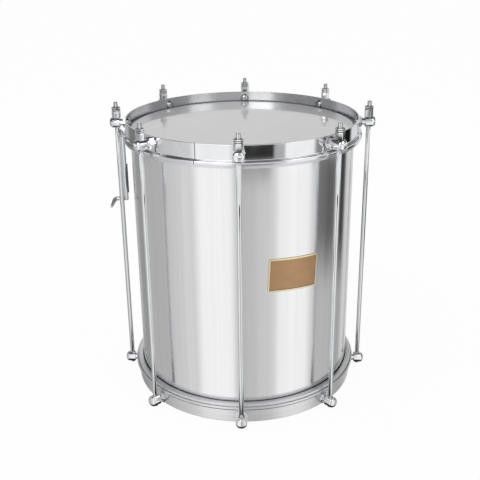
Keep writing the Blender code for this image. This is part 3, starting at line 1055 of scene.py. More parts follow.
@dataclass
class Hoop:
    """A pressed hoop: wall, shoulder over the flesh hoop and a short skirt round it."""

    layout: Layout
    end: End
    bend: float = 1.5 * MM
    bend_pieces: int = 6
    edge_round: float = 0.5 * MM
    edge_pieces: int = 4
    skirt_room: float = 0.4 * MM

    def build(self) -> bpy.types.Mesh:
        """Turn the hoop's section with eased edges.

        Returns:
            The hoop's mesh.
        """
        sheet = self.layout.hoop_sheet
        wall = self.layout.hoop_inner + sheet / 2
        skirt = self.layout.flesh_inner + self.layout.flesh_width + self.skirt_room + sheet / 2
        shoulder = -self.layout.hoop_wall - sheet / 2
        foot = -self.layout.hoop_wall - self.layout.hoop_skirt_drop
        corners = [(wall, 0.0), (wall, shoulder), (skirt, shoulder), (skirt, foot)]
        line = filleted(corners, self.bend, self.bend_pieces)
        section = held(eased(sheet_section(line, sheet), self.edge_round, self.edge_pieces))
        return self.layout.ring(f"{self.end.value}_pressing", section, self.end)

    def dress(self) -> None:
        """Show the hoop in its plating."""
        name = self.end.value
        body, finish = (Body.HOOP_SET, HOOP_CHROME) if self.end is End.BATTER else (Body.DRUM, HOOP_SATIN)
        show(self.build(), f"{name}_hoop_pressing", finish, body.value, [f"{name}_hoop"])


@dataclass
class Tension:
    """The lugs, their screws, the rods and the nuts, each set round the drum."""

    layout: Layout
    nose: float = 8.0 * MM
    heel: float = 4.2 * MM
    nose_depth: float = 4.4 * MM
    nose_power: float = 2.2
    nose_pieces: int = 14
    heel_round: float = 0.3 * MM
    neck_radius: float = 4.0 * MM
    shoulder_flats: float = 11.4 * MM
    shoulder_length: float = 3.3 * MM
    shoulder_chamfer: Point = (0.7 * MM, 0.4 * MM)
    spot_depth: float = 1.0 * MM
    screw_radius: float = 2.5 * MM
    screw_head: float = 5.2 * MM
    screw_dome: float = 3.0 * MM
    screw_brim: float = 0.2
    screw_steps: int = 36
    dome_pieces: int = 8
    nut_flats: float = 9.0 * MM
    nut_height: float = 12.0 * MM
    stub: float = 6.0 * MM
    nub: float = 1.5 * MM
    foot_round: float = 1.2 * MM
    foot_pieces: int = 4
    rod_steps: int = 24
    rod_under_thread: float = 0.5 * MM
    screw_length: float = 9.0 * MM
    recess: tuple[float, float] = (4.6 * MM, 0.9 * MM)
    recess_depth: float = 1.6 * MM
    nut_chamfer: Point = (0.75 * MM, 0.6 * MM)
    nut_foot_chamfer: Point = (0.5 * MM, 0.4 * MM)
    groove_drops: tuple[float, float] = (2.0 * MM, 3.8 * MM)
    groove_halves: tuple[float, float] = (0.8 * MM, 0.2 * MM)
    groove_depth: float = 1.15 * MM
    pitch: float = 1.0 * MM
    thread_depth: float = 0.45 * MM
    thread_length: float = 33.0 * MM
    thread_steps: int = 20
    rows_in_turn: int = 7
    nut_turns: tuple[int, ...] = (10, 24, 5, 38, 50, 20, 2, 15)
    ring: GeometryTree = field(default_factory=ring_tree)
    thread: GeometryTree = field(default_factory=thread_tree)

    @property
    def nut_seat(self) -> float:
        """Height of the nuts' lower faces."""
        return self.layout.lug_top + self.layout.lug_radius - self.spot_depth + GAP

    @property
    def wall_out(self) -> float:
        """Place of the hoop's outer face on a lug's axis, from the rod's axis."""
        return self.layout.hoop_outer - self.layout.rod_circle

    def lug(self) -> bpy.types.Mesh:
        """Make a lug: its barrel along +X, the rod's hole on Z and the spot face upwards.

        Returns:
            The lug's mesh, with the rod's axis on Z.
        """
        radius = self.layout.lug_radius
        base = self.wall_out + GAP / 3
        ease = self.heel_round
        outline = []
        for step in range(self.nose_pieces + 1):
            share = math.sin(math.pi / 2 * step / self.nose_pieces)
            swell = 1 - (1 - share ** self.nose_power) ** (1 / self.nose_power)
            outline.append((radius * share, self.nose - self.nose_depth * swell))
        outline += [(radius, ease - self.heel), (radius - ease, -self.heel), (self.neck_radius, -self.heel),
                    (self.neck_radius, base + 1 * MM), (0.0, base + 1 * MM)]
        barrel = turned("lug", outline, TURNED_STEPS, closed=False)
        half_corner = self.shoulder_flats / math.sqrt(3)
        end = base + self.shoulder_length
        lead, drop = self.shoulder_chamfer
        collar = [(0.0, end), (half_corner - lead, end), (half_corner, end - drop),
                  (half_corner, base), (0.0, base)]
        shoulder = turned("shoulder", collar, 6, closed=False, phase=math.pi / 6)
        across = Matrix.Rotation(-math.pi / 2, 4, "Y")
        rod_hole = cylinder(self.layout.rod_radius + GAP, -2 * radius, 2 * radius, BORE_STEPS)
        spot_radius = self.nut_flats / math.sqrt(3) + 3 * GAP
        spot = cylinder(spot_radius, radius - self.spot_depth, 2 * radius, TURNED_STEPS)
        rod_hole.transform(across)
        spot.transform(across)
        mesh = carved(barrel, [("UNION", shoulder), ("DIFFERENCE", rod_hole), ("DIFFERENCE", spot)])
        mesh.transform(Matrix.Rotation(math.pi / 2, 4, "Y"))
        shade(mesh, 28)
        return mesh

    def screw(self) -> bpy.types.Mesh:
        """Make a lug screw: a domed head with a cross recess towards the drum's axis.

        Returns:
            The screw's mesh, in the lug's axes.
        """
        seat = self.layout.hoop_inner - self.layout.rod_circle - GAP / 3
        tip = seat + self.screw_length
        outline = [(0.0, tip), (self.screw_radius, tip), (self.screw_radius, seat), (self.screw_head, seat)]
        for step in range(1, self.dome_pieces + 1):
            angle = math.pi / 2 * step / self.dome_pieces
            rise = self.screw_brim + (1 - self.screw_brim) * math.sin(angle)
            outline.append((self.screw_head * math.cos(angle), seat - self.screw_dome * rise))
        outline[-1] = (0.0, outline[-1][1])
        centre = Matrix.Translation((0.0, 0.0, seat - self.screw_dome))
        arms = []
        for width, breadth in (self.recess, self.recess[::-1]):
            shape = bmesh.new()
            size = Matrix.Diagonal((width, breadth, 2 * self.recess_depth, 1.0))
            bmesh.ops.create_cube(shape, size=1.0, matrix=centre @ size)
            arms.append(("DIFFERENCE", mesh_of(shape, "recess", outwards=False)))
        mesh = carved(turned("screw", outline, self.screw_steps, closed=False), arms)
        mesh.transform(Matrix.Rotation(math.pi / 2, 4, "Y"))
        shade(mesh, 28)
        return mesh

    def nut(self) -> bpy.types.Mesh:
        """Make a nut on its seat: six-sided, chamfered, with two turned grooves near its top.

        Returns:
            The nut's mesh, with its seat at 0.
        """
        corner = self.nut_flats / math.sqrt(3)
        top = self.nut_height
        cone = [(0.0, top), (corner - self.nut_chamfer[0], top), (corner, top - self.nut_chamfer[1]),
                (corner, self.nut_foot_chamfer[1]), (corner - self.nut_foot_chamfer[0], 0.0), (0.0, 0.0)]
        rounder = turned("rounder", cone, TURNED_STEPS, closed=False)
        hexagon = turned("nut", [(0.0, top + MM), (corner, top + MM), (corner, -MM), (0.0, -MM)], 6,
                         closed=False, phase=math.pi / 6)
        cuts = [("INTERSECT", rounder)]
        inner = corner - self.groove_depth
        mouth, floor = self.groove_halves
        for middle in (top - drop for drop in self.groove_drops):
            section = [(corner + MM, middle + mouth), (corner + MM, middle - mouth),
                       (inner, middle - floor), (inner, middle + floor)]
            cuts.append(("DIFFERENCE", turned("groove", section, TURNED_STEPS)))
        cuts.append(("DIFFERENCE", cylinder(self.layout.rod_radius + GAP, -MM, top + MM, BORE_STEPS)))
        mesh = carved(hexagon, cuts, bevel=0.25 * MM)
        shade(mesh, 28)
        return mesh

    def rod(self) -> bpy.types.Mesh:
        """Make a rod: plain shaft, domed foot and a rolled thread at its upper end.

        Returns:
            The rod's mesh, with its axis on Z.
        """
        radius = self.layout.rod_radius
        top = self.nut_seat + self.nut_height + self.stub
        start = top - self.thread_length
        foot = self.layout.lug_drop - self.layout.lug_radius - self.nub
        bend = foot + self.foot_round
        core = radius - self.rod_under_thread
        outline = [(0.0, start + MM), (core, start + MM), (radius, start), (radius, bend)]
        for step in range(1, self.foot_pieces + 1):
            angle = math.pi / 2 * step / self.foot_pieces
            across = radius * math.cos(angle) if step < self.foot_pieces else 0.0
            outline.append((across, foot + self.foot_round * (1 - math.sin(angle))))
        shaft = turned("shaft", outline, self.rod_steps, closed=False)
        values = {"Radius": radius, "Depth": self.thread_depth, "Pitch": self.pitch,
                  "Length": self.thread_length, "Steps Round": self.thread_steps,
                  "Steps Along": round(self.thread_length / self.pitch) * self.rows_in_turn,
                  "Finish": ROD_CHROME.material()}
        thread = self.thread.run("thread", values)
        thread.transform(Matrix.Translation((0.0, 0.0, start + self.thread_length / 2)))
        shape = bmesh.new()
        shape.from_mesh(shaft)
        shape.from_mesh(thread)
        mesh = mesh_of(shape, "rod", outwards=False)
        shade(mesh, 40)
        return mesh

    def around(self, name: str, mesh: bpy.types.Mesh, finish: Finish, **values: float) -> bpy.types.Mesh:
        """Set copies of a mesh round the drum.

        Args:
            name: The result's name.
            mesh: The piece in its own axes, with +X away from the drum.
            finish: Its surface.
            values: Count, height, first, roll and spin of the copies.

        Returns:
            One mesh of all the copies.
        """
        item = linked(f"{name}_pattern", mesh)
        inputs = {"Piece": item, "Count": int(values.get("count", self.layout.rod_count)),
                  "Radius": self.layout.rod_circle, "Height": values.get("height", 0.0),
                  "First Angle": values.get("first", 0.0), "Roll": values.get("roll", 0.0),
                  "Spin": values.get("spin", 0.0), "Finish": finish.material()}
        result = self.ring.run(name, inputs)
        bpy.data.objects.remove(item, do_unlink=True)
        return result

    def dress(self) -> None:
        """Show every set on the body it belongs to."""
        numbers = range(1, self.layout.rod_count + 1)
        lug = self.lug()
        screw = self.screw()
        for end, height, roll, body in ((End.BATTER, self.layout.lug_top, 0.0, Body.HOOP_SET),
                                        (End.RESONANT, self.layout.lug_drop, math.pi, Body.DRUM)):
            for kind, mesh, finish in (("lug", lug, LUG_CHROME), ("lug_screw", screw, SCREW_STEEL)):
                name = f"{end.value}_{kind}"
                ring = self.around(f"{name}s", mesh, finish, height=height, roll=roll)
                show(ring, f"{name}s_turned", finish, body.value, [f"{name}_{number}" for number in numbers])
        rods = self.around("rods", self.rod(), ROD_CHROME)
        show(rods, "tension_rods_threaded", ROD_CHROME, Body.DRUM.value,
             [f"tension_rod_{number}" for number in numbers])
        nut = self.nut()
        for number, turn in zip(numbers, self.nut_turns):
            single = self.around(f"nut_{number}", nut, NUT_CHROME, count=1, height=self.nut_seat,
                                 first=self.layout.angle(number), spin=math.radians(turn))
            name = f"tension_nut_{number}"
            show(single, f"{name}_turned", NUT_CHROME, f"nut_{number}", [name])


@dataclass
class Plate:
    """The bare plate on the shell: a bent sheet with a raised rim."""

    layout: Layout
    azimuth: float = 296.6
    drop: float = 146.2 * MM
    width: float = 58.5 * MM
    height: float = 37.6 * MM
    sheet: float = 0.6 * MM
    rim: float = 0.5 * MM
    rim_width: float = 1.6 * MM
    rim_edge_share: float = 0.7
    corner: float = 2.0 * MM
    tilt: float = -2.8
    columns_inside: int = 28
    rows_inside: int = 10

    def lines(self, size: float, inner: int) -> list[float]:
        """Space the grid lines across a side, close together at the rim.

        Args:
            size: The side's length.
            inner: Number of spaces between the rims.

        Returns:
            The lines' places from the middle.
        """
        half = size / 2
        edge = [half, half - 0.25 * MM, half - 0.7 * MM, half - 1.2 * MM, half - self.rim_width,
                half - self.rim_width - 0.35 * MM, half - self.rim_width - 1.0 * MM]
        span = edge[-1]
        middle = [span * (1 - 2 * step / inner) for step in range(1, inner)]
        return [-value for value in edge] + [-value for value in middle] + edge[::-1]

    def corner_eased(self, across: float, upward: float) -> Point:
        """Move a point of the grid so that the plate's corners are round.

        Args:
            across: The point's place along the width.
            upward: Its place along the height.

        Returns:
            Its new place.
        """
        reach = (self.width / 2 - self.corner, self.height / 2 - self.corner)
        over = (abs(across) - reach[0], abs(upward) - reach[1])
        if min(over) <= 0:
            return across, upward
        first, second = over[0] / self.corner, over[1] / self.corner
        moved = (first * math.sqrt(1 - second * second / 2), second * math.sqrt(1 - first * first / 2))
        return (math.copysign(reach[0] + moved[0] * self.corner, across),
                math.copysign(reach[1] + moved[1] * self.corner, upward))

    def lift(self, across: float, upward: float) -> float:
        """Raise the rim above the face.

        Args:
            across: A point's place along the width.
            upward: Its place along the height.

        Returns:
            The height of the front above the back.
        """
        inset = min(self.width / 2 - abs(across), self.height / 2 - abs(upward))
        if inset > self.rim_width + 0.1 * MM:
            return self.sheet
        return self.sheet + self.rim * (self.rim_edge_share if inset < 0.1 * MM else 1.0)

    def bent(self, across: float, upward: float, radius: float) -> Vector:
        """Wrap a point of the flat plate on the shell.

        Args:
            across: The point's place along the width.
            upward: Its place along the height.
            radius: Its distance from the drum's axis.

        Returns:
            Its place on the drum.
        """
        tilt = math.radians(self.tilt)
        along = across * math.cos(tilt) - upward * math.sin(tilt)
        rise = across * math.sin(tilt) + upward * math.cos(tilt)
        angle = math.radians(self.azimuth) + along / self.layout.shell_radius
        return polar(radius, angle, self.layout.height - self.drop + rise)

    def build(self) -> bpy.types.Mesh:
        """Make the front and back grids, close their border and map the face.

        Returns:
            The plate's mesh.
        """
        columns = self.lines(self.width, self.columns_inside)
        rows = self.lines(self.height, self.rows_inside)
        back = self.layout.shell_radius + GAP
        shape = bmesh.new()
        sheets = []
        for front in (True, False):
            grid = []
            for across in columns:
                line = []
                for upward in rows:
                    point = self.corner_eased(across, upward)
                    lift = self.lift(across, upward) if front else 0.0
                    line.append(shape.verts.new(self.bent(*point, back + lift)))
                grid.append(line)
            sheets.append(grid)
        uv = shape.loops.layers.uv.new("face_map")
        self.skin(shape, sheets, uv, columns, rows)
        mesh = mesh_of(shape, "plate")
        shade(mesh, 30)
        return mesh

    def skin(self, shape: bmesh.types.BMesh, sheets: list, uv: bmesh.types.BMLayerItem,
             columns: list[float], rows: list[float]) -> None:
        """Add the faces between the grid's points.

        Args:
            shape: The mesh being made.
            sheets: The front and back grids of points.
            uv: The layer that takes the face's map.
            columns: Places of the upright lines.
            rows: Places of the level lines.
        """
        place = {}
        for grid in sheets:
            for i, across in enumerate(columns):
                for j, upward in enumerate(rows):
                    place[grid[i][j]] = (across / self.width + 0.5, upward / self.height + 0.5)
            for i in range(len(columns) - 1):
                for j in range(len(rows) - 1):
                    shape.faces.new((grid[i][j], grid[i + 1][j], grid[i + 1][j + 1], grid[i][j + 1]))
        last_column, last_row = len(columns) - 1, len(rows) - 1
        border = [(i, 0) for i in range(last_column)] + [(last_column, j) for j in range(last_row)]
        border += [(i, last_row) for i in range(last_column, 0, -1)]
        border += [(0, j) for j in range(last_row, 0, -1)]
        front, rear = sheets
        for (i, j), (k, m) in zip(border, border[1:] + border[:1]):
            shape.faces.new((front[i][j], front[k][m], rear[k][m], rear[i][j]))
        for face in shape.faces:
            for loop in face.loops:
                loop[uv].uv = place[loop.vert]

    def dress(self) -> None:
        """Show the plate in bronze with a pale rim."""
        show(self.build(), "plate_bordered", PLATE_FACE, Body.DRUM.value, ["plate"])


@dataclass
class StrapHook:
    """The bent wire beside one rod, with a sleeve on its leg."""

    layout: Layout
    rod: int = 5
    wire: float = 2.5 * MM
    lug_room: float = 1.0 * MM
    wrap_height: float = 9.0 * MM
    wrap_turn: float = 100.0
    wrap_power: float = 1.5
    wrap_pieces: int = 9
    leg_pieces: int = 4
    arm_pieces: int = 6
    length: float = 81.0 * MM
    arm_drop: float = 3.0 * MM
    nose_corner: float = 8.9 * MM
    nose_bend: float = 4.0 * MM
    nose_reach: float = 11.6 * MM
    nose_forward: float = 9.0 * MM
    nose_drop: float = 5.9 * MM
    tip_stops: tuple[float, ...] = (0.35, 0.7, 0.9, 1.0)
    tip_share: float = 0.62
    taper_length: float = 11.5 * MM
    sleeve_wall: float = 0.8 * MM
    sleeve_length: float = 34.5 * MM
    sleeve_rise: float = 6.7 * MM
    sleeve_wrap: float = 140.0
    sleeve_narrowing: float = 0.6
    sleeve_ribs: int = 6
    rib_depth: float = 0.12 * MM
    sleeve_rows: int = 40
    sleeve_columns: int = 16
    end_shares: tuple[float, ...] = (0.45, 0.8, 0.95)

    @property
    def near(self) -> float:
        """Distance from the rod's axis to the wire's axis where it lies on the rod."""
        return self.layout.rod_radius + GAP + self.wire

    @property
    def top(self) -> float:
        """Height of the wire's axis at its curled end under the lug."""
        return self.layout.lug_top - self.layout.lug_radius - self.lug_room - self.wire

    @property
    def leg_end(self) -> float:
        """Height at which the leg bends behind the rod."""
        return self.top - self.length

    def route(self) -> list[Vector]:
        """Lay out the wire: its curl under the lug, the leg, the bend behind the rod and the nose.

        Returns:
            Its points: X towards the drum, Y along its skin, Z up.
        """
        near = self.near
        points = []
        for step in range(self.wrap_pieces, -1, -1):
            share = step / self.wrap_pieces
            angle = math.radians(self.wrap_turn) * share ** self.wrap_power
            height = self.top - self.wrap_height * (1 - share)
            points.append(polar(near, angle, height))
        for step in range(1, self.leg_pieces):
            height = self.top - self.wrap_height - step * (self.length - self.wrap_height) / self.leg_pieces
            points.append(Vector((near, 0.0, height)))
        arm = self.leg_end - self.arm_drop
        for step in range(self.arm_pieces + 1):
            angle = math.pi / 2 * step / self.arm_pieces
            points.append(polar(near, angle, self.leg_end - self.arm_drop * math.sin(angle)))
        corner = Vector((-self.nose_corner, near, arm))
        tip = Vector((-self.nose_reach, -self.nose_forward, arm - self.nose_drop))
        points += arc_corner(points[-1], corner, tip, self.nose_bend, self.arm_pieces)
        last = points[-1]
        return points + [last.lerp(tip, share) for share in self.tip_stops]

    @staticmethod
    def smoothed(points: list[Vector], pieces: int) -> list[Vector]:
        """Draw a smooth curve through points.

        Args:
            points: The points.
            pieces: Number of straight pieces between two of them.

        Returns:
            The curve's points.
        """
        padded = [points[0] * 2 - points[1], *points, points[-1] * 2 - points[-2]]
        curve = []
        for first, second, third, fourth in zip(padded, padded[1:], padded[2:], padded[3:]):
            for step in range(pieces):
                t = step / pieces
                curve.append(0.5 * (2 * second + (third - first) * t
                                    + (2 * first - 5 * second + 4 * third - fourth) * t * t
                                    + (3 * second - first - 3 * third + fourth) * t ** 3))
        return [*curve, points[-1]]

    def build_wire(self) -> bpy.types.Mesh:
        """Sweep the wire along its route, with rounded ends.

        Returns:
            The wire's mesh.
        """
        path = self.smoothed(self.route(), 4)
        curve = bpy.data.curves.new("hook_wire", "CURVE")
        curve.dimensions = "3D"
        spline = curve.splines.new("POLY")
        spline.points.add(len(path) - 1)
        count = len(path)
        tip = path[-1]
        for index, (point, place) in enumerate(zip(spline.points, path)):
            point.co = (*place, 1.0)
            taper = min(1.0, self.tip_share + (1 - self.tip_share) * (tip - place).length / self.taper_length)
            to_end = min(index, count - 1 - index)
            point.radius = taper * (self.end_shares[to_end] if to_end < len(self.end_shares) else 1.0)
        curve.bevel_depth = self.wire
        curve.bevel_resolution = 5
        curve.use_fill_caps = True
        item = linked("hook_wire", curve)
        item.matrix_world = self.place()
        mesh = baked(item)
        shape = bmesh.new()
        shape.from_mesh(mesh)
        bmesh.ops.remove_doubles(shape, verts=shape.verts, dist=0.001 * MM)
        bmesh.ops.recalc_face_normals(shape, faces=shape.faces)
        shape.to_mesh(mesh)
        shape.free()
        shade(mesh, 50)
        return mesh

    def place(self) -> Matrix:
        """Return the hook's own axes in the drum's frame."""
        spin = Matrix.Rotation(self.layout.angle(self.rod) + math.pi, 4, "Z")
        return Matrix.Translation(self.layout.rod_point(self.rod, 0.0)) @ spin

    def build_sleeve(self) -> bpy.types.Mesh:
        """Bend the split sleeve round the wire's side towards the drum, narrower towards its ends.

        Returns:
            The sleeve's mesh.
        """
        bore = self.wire + GAP
        low = self.leg_end + self.sleeve_rise
        shape = bmesh.new()
        rows = []
        for row in range(self.sleeve_rows + 1):
            share = row / self.sleeve_rows
            half = math.radians(self.sleeve_wrap) / 2 * (1 - self.sleeve_narrowing * abs(2 * share - 1) ** 3)
            height = low + self.sleeve_length * share
            swell = self.rib_depth * (1 - math.cos(math.tau * self.sleeve_ribs * share)) / 2
            loop = []
            for radius, way in ((bore + self.sleeve_wall - swell, 1), (bore, -1)):
                for step in range(self.sleeve_columns + 1):
                    angle = way * half * (2 * step / self.sleeve_columns - 1)
                    loop.append(shape.verts.new(polar(radius, angle, height)))
            rows.append(loop)
        count = len(rows[0])
        for lower, upper in zip(rows, rows[1:]):
            for index in range(count):
                after = (index + 1) % count
                shape.faces.new((lower[index], lower[after], upper[after], upper[index]))
        for loop in (rows[0], rows[-1]):
            for step in range(count // 2 - 1):
                shape.faces.new((loop[step], loop[step + 1], loop[count - 2 - step], loop[count - 1 - step]))
        mesh = mesh_of(shape, "hook_sleeve")
        mesh.transform(self.place() @ Matrix.Translation((self.near, 0.0, 0.0)))
        shade(mesh)
        return mesh

    def dress(self) -> None:
        """Show the wire and its sleeve."""
        show(self.build_wire(), "strap_hook_wire", HOOK_CHROME, Body.HOOK_SET.value, ["strap_hook"])
        show(self.build_sleeve(), "strap_hook_tube", SLEEVE_DARK, Body.HOOK_SET.value, ["strap_hook_sleeve"])


@dataclass(frozen=True)
class Panel:
    """A field of the light tent.

    Its middle, half width and softness are angles round the drum in degrees, and it reaches from one
    height to another with a blurred edge.
    """

    middle: float
    half: float
    level: float
    softness: float = 3.0
    above: float | None = None
    below: float | None = None
    blur: float = 0.01


@dataclass
class Studio:
    """Pale floor, soft lamps, a light tent that only reflections see, and the camera."""

    floor_half: float = 12.0
    floor_grey: float = 0.93
    floor_white: float = 0.94
    lamp_size: tuple[float, float] = (1.6, 1.2)
    lamp_energy: float = 9.0
    lamp_place: tuple[float, float, float] = (-0.7, -0.9, 1.9)
    lamp_aim: tuple[float, float, float] = (0.0, 0.0, 0.15)
    world_level: float = 0.8
    tent_radius: float = 0.36
    tent_bottom: float = -0.40
    tent_top: float = 0.75
    tent_level: float = 0.50
    far_level: float = 0.75
    near_level: float = 0.55
    side_level: float = 0.14
    low_level: float = 0.04
    glows: tuple[tuple[float, float, float], ...] = ((248.0, 15.0, 2.3), (324.0, 14.0, 1.5))
    top_level: float = 0.05
    front_band: tuple[float, float] = (-0.2, 0.3)
    side_band: tuple[float, float] = (0.50, 0.66)
    upper_band: tuple[float, float] = (0.33, 0.38)
    glow_band: tuple[float, float] = (0.38, 0.40)
    low_band: tuple[float, float] = (-0.30, -0.24)
    top_band: tuple[float, float] = (0.73, 0.745)
    panels: tuple[Panel, ...] = (
        # the shell's front, from its left side to its right
        Panel(216.0, 14.0, 0.68, 8.0), Panel(226.0, 8.0, 0.76, 7.0), Panel(248.5, 15.5, 1.08, 4.0),
        Panel(279.0, 9.0, 0.60, 5.0), Panel(290.0, 5.0, 0.70, 4.0), Panel(316.0, 17.0, 1.05, 7.0),
        Panel(352.0, 11.0, 0.55, 5.0), Panel(14.0, 9.0, 0.42, 5.0),
        # its right side, darker from near the floor upwards
        Panel(346.0, 7.0, 0.17, 3.0, 0.07, blur=0.06), Panel(357.0, 6.0, 0.13, 3.0, 0.06, blur=0.06),
        Panel(17.0, 6.0, 0.03, 3.0, 0.04, blur=0.06),
        # the back
        Panel(42.0, 17.0, 0.72), Panel(75.0, 12.0, 0.25), Panel(110.0, 18.0, 0.80, 8.0),
        Panel(155.0, 10.0, 0.33),
        # the upper hoop's wall
        Panel(281.0, 13.0, 0.42, 4.0, 0.21, blur=0.012), Panel(284.0, 13.5, 0.03, 2.0, 0.24, blur=0.006),
        Panel(316.0, 15.0, 1.1, 4.0, 0.22), Panel(341.0, 9.0, 0.30, 3.0, 0.225),
        Panel(1.0, 8.0, 0.95, 3.0, 0.225), Panel(13.0, 5.0, 0.01, 1.5, 0.215),
        Panel(35.0, 13.0, 0.80, 4.0, 0.225), Panel(165.0, 15.0, 0.22, 3.0, 0.22),
        # the nuts
        Panel(280.0, 100.0, 1.0, 4.0, 0.264, blur=0.003), Panel(216.0, 8.0, 0.42, 3.0, 0.262, 0.30, 0.004),
        Panel(178.0, 9.0, 0.45, 3.0, 0.26, 0.30, 0.004), Panel(357.0, 5.0, 0.2, 2.0, 0.26, 0.30, 0.004),
        # the grey step beside the dark field on the upper hoop
        Panel(300.0, 4.0, 0.5, 2.0, 0.235, 0.262, 0.006))
    camera_place: tuple[float, float, float] = (0.02395, -0.88684, 0.52417)
    camera_aim: tuple[float, float, float] = (-0.02918, 0.92777, -0.37202)
    camera_roll: float = -0.644
    lens: float = 59.36
    sensor_width: float = 36.0
    near_clip: float = 0.01

    def floor(self) -> None:
        """Lay the white floor, which takes the drum's shadow and is left out of reflections."""
        shape = bmesh.new()
        bmesh.ops.create_grid(shape, x_segments=2, y_segments=2, size=self.floor_half)
        mesh = mesh_of(shape, "studio_floor", outwards=False)
        item = linked("studio_floor", mesh)
        graph = self.cloth(mesh, "floor_paper")
        paper = graph.node("ShaderNodeBsdfDiffuse", None, {"Color": (*(self.floor_grey,) * 3, 1.0)})
        white = graph.node("ShaderNodeEmission", None, {"Strength": 1.0})
        seen = self.seen(graph) * self.floor_white
        mixed = graph.node("ShaderNodeMixShader", None, {0: seen, 1: paper, 2: white})
        graph.node("ShaderNodeOutputMaterial", None, {"Surface": mixed})
        item.visible_glossy = False

    @staticmethod
    def cloth(mesh: bpy.types.Mesh, name: str) -> Graph:
        """Cover a mesh in a new material.

        Args:
            mesh: The mesh.
            name: The material's name.

        Returns:
            The material's empty graph.
        """
        material = bpy.data.materials.new(name)
        material.use_nodes = True
        material.node_tree.nodes.clear()
        mesh.materials.append(material)
        return Graph(material.node_tree)

    @staticmethod
    def seen(graph: Graph) -> Socket:
        """Tell rays from the camera and through or off the drum from scattered light.

        Args:
            graph: The material's or the world's graph.

        Returns:
            1 for those rays, and 0 for scattered light.
        """
        camera = graph.node("ShaderNodeLightPath")
        seen = camera.maths("MAXIMUM", camera.out("Is Glossy Ray"))
        return seen.maths("MAXIMUM", camera.out("Is Transmission Ray"))

    def tent(self) -> None:
        """Stand the light tent round the drum, seen by reflections alone."""
        wall = [(0.0, self.tent_top), (self.tent_radius, self.tent_top),
                (self.tent_radius, self.tent_bottom), (0.0, self.tent_bottom)]
        mesh = turned("light_tent", wall, 96, closed=False)
        item = linked("light_tent", mesh)
        graph = self.cloth(mesh, "tent_cloth")
        glow = graph.node("ShaderNodeEmission", None, {"Strength": self.tent_pattern(graph)})
        graph.node("ShaderNodeOutputMaterial", None, {"Surface": glow})
        item.visible_camera = False
        item.visible_diffuse = False
        item.visible_shadow = False
        item.visible_transmission = False

    @staticmethod
    def wedge(graph: Graph, facing: Socket, middle: float, half: float, softness: float) -> Socket:
        """Return 1 in a wedge of the tent, and 0 elsewhere.

        Args:
            graph: The tent's graph.
            facing: The direction from the drum's axis, in plan.
            middle: The wedge's middle, in degrees.
            half: Its half width, in degrees.
            softness: Half the width of its soft edges, in degrees.

        Returns:
            The wedge's mask.
        """
        toward = graph.dot(facing, polar(1.0, math.radians(middle)))
        shut = math.cos(math.radians(half + softness))
        return toward.band(shut, math.cos(math.radians(max(0.5, half - softness))))

    def tent_pattern(self, graph: Graph) -> Socket:
        """Paint the tent: fields round its wall, even cloth above them, a dark foot and a dark top.

        Args:
            graph: The tent's graph.

        Returns:
            Its brightness.
        """
        place = graph.position()
        height = graph.parts(place)[2]
        flat = graph.scaled(place, (1.0, 1.0, 0.0))
        facing = graph.node("ShaderNodeVectorMath", {"operation": "NORMALIZE"}, {0: flat}, "Vector")
        level: Socket | float = self.tent_level
        for panel in self.panels:
            cover = self.wedge(graph, facing, panel.middle, panel.half, panel.softness)
            if panel.above is not None:
                cover = cover * height.band(panel.above - panel.blur, panel.above + panel.blur)
            if panel.below is not None:
                cover = cover * height.band(panel.below - panel.blur, panel.below + panel.blur, 1.0, 0.0)
            level = cover * panel.level + (1.0 - cover) * level
        upper = graph.dot(facing, (0.0, -1.0, 0.0)).band(*self.front_band, self.far_level, self.near_level)
        side = graph.dot(facing, (1.0, 0.0, 0.0))
        upper = upper + (self.side_level - upper) * (side * side).band(*self.side_band)
        for azimuth, half, glow in self.glows:
            cover = self.wedge(graph, facing, azimuth, half, 1.0)
            upper = upper + cover * height.band(*self.glow_band) * glow
        high = height.band(*self.upper_band)
        walls = level * (1.0 - high) + upper * high
        low = height.band(*self.low_band, 1.0, 0.0)
        walls = walls * (1.0 - low) + low * self.low_level
        top = height.band(*self.top_band)
        return walls * (1.0 - top) + top * self.top_level

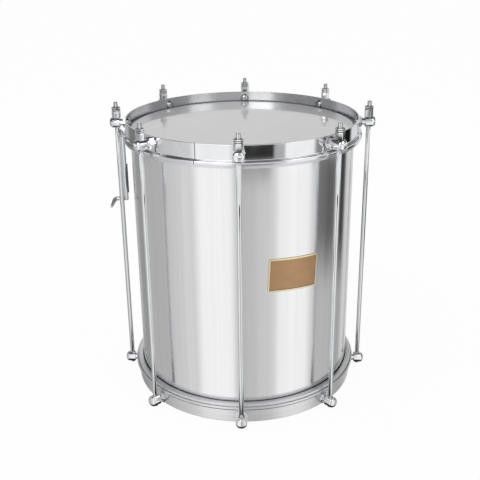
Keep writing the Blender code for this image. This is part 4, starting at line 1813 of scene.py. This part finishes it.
    def lamps(self) -> None:
        """Hang one broad soft lamp and set the world's even light."""
        light = bpy.data.lights.new("soft_lamp", "AREA")
        light.shape = "RECTANGLE"
        light.size, light.size_y = self.lamp_size
        light.energy = self.lamp_energy
        lamp = bpy.data.objects.new("soft_lamp", light)
        lamp.location = self.lamp_place
        lamp.rotation_euler = (Vector(self.lamp_aim) - lamp.location).to_track_quat("-Z", "Y").to_euler()
        bpy.context.scene.collection.objects.link(lamp)
        world = bpy.data.worlds.new("studio_world")
        bpy.context.scene.world = world
        world.use_nodes = True
        graph = Graph(world.node_tree)
        strength = self.seen(graph) * (1.0 - self.world_level) + self.world_level
        background = world.node_tree.nodes["Background"]
        background.inputs["Color"].default_value = (1.0, 1.0, 1.0, 1.0)
        world.node_tree.links.new(strength.output, background.inputs["Strength"])

    def camera(self) -> None:
        """Place the camera at the photograph's viewpoint."""
        data = bpy.data.cameras.new("viewpoint")
        data.lens = self.lens
        data.sensor_fit = "HORIZONTAL"
        data.sensor_width = self.sensor_width
        data.clip_start = self.near_clip
        item = bpy.data.objects.new("viewpoint", data)
        aim = Vector(self.camera_aim).normalized()
        level = aim.cross(Vector((0.0, 0.0, 1.0))).normalized()
        upward = level.cross(aim)
        roll = math.radians(self.camera_roll)
        right = level * math.cos(roll) + upward * math.sin(roll)
        up = upward * math.cos(roll) - level * math.sin(roll)
        turn = Matrix((right, up, -aim)).transposed().to_4x4()
        item.matrix_world = Matrix.Translation(self.camera_place) @ turn
        bpy.context.scene.collection.objects.link(item)
        bpy.context.scene.camera = item

    def build(self) -> None:
        """Set the whole studio up."""
        self.camera()
        self.floor()
        self.tent()
        self.lamps()
        bpy.context.scene.view_settings.view_transform = "Standard"
        LOG.info("studio ready")


def main() -> None:
    """Build the studio and dress every sub-assembly."""
    logging.basicConfig(level=logging.INFO, format="%(name)s %(message)s")
    layout = Layout()
    Studio().build()
    Shell(layout).dress()
    for end in End:
        Head(layout, end).dress()
        Hoop(layout, end).dress()
    Tension(layout).dress()
    Plate(layout).dress()
    StrapHook(layout).dress()


if __name__ == "__main__":
    main()
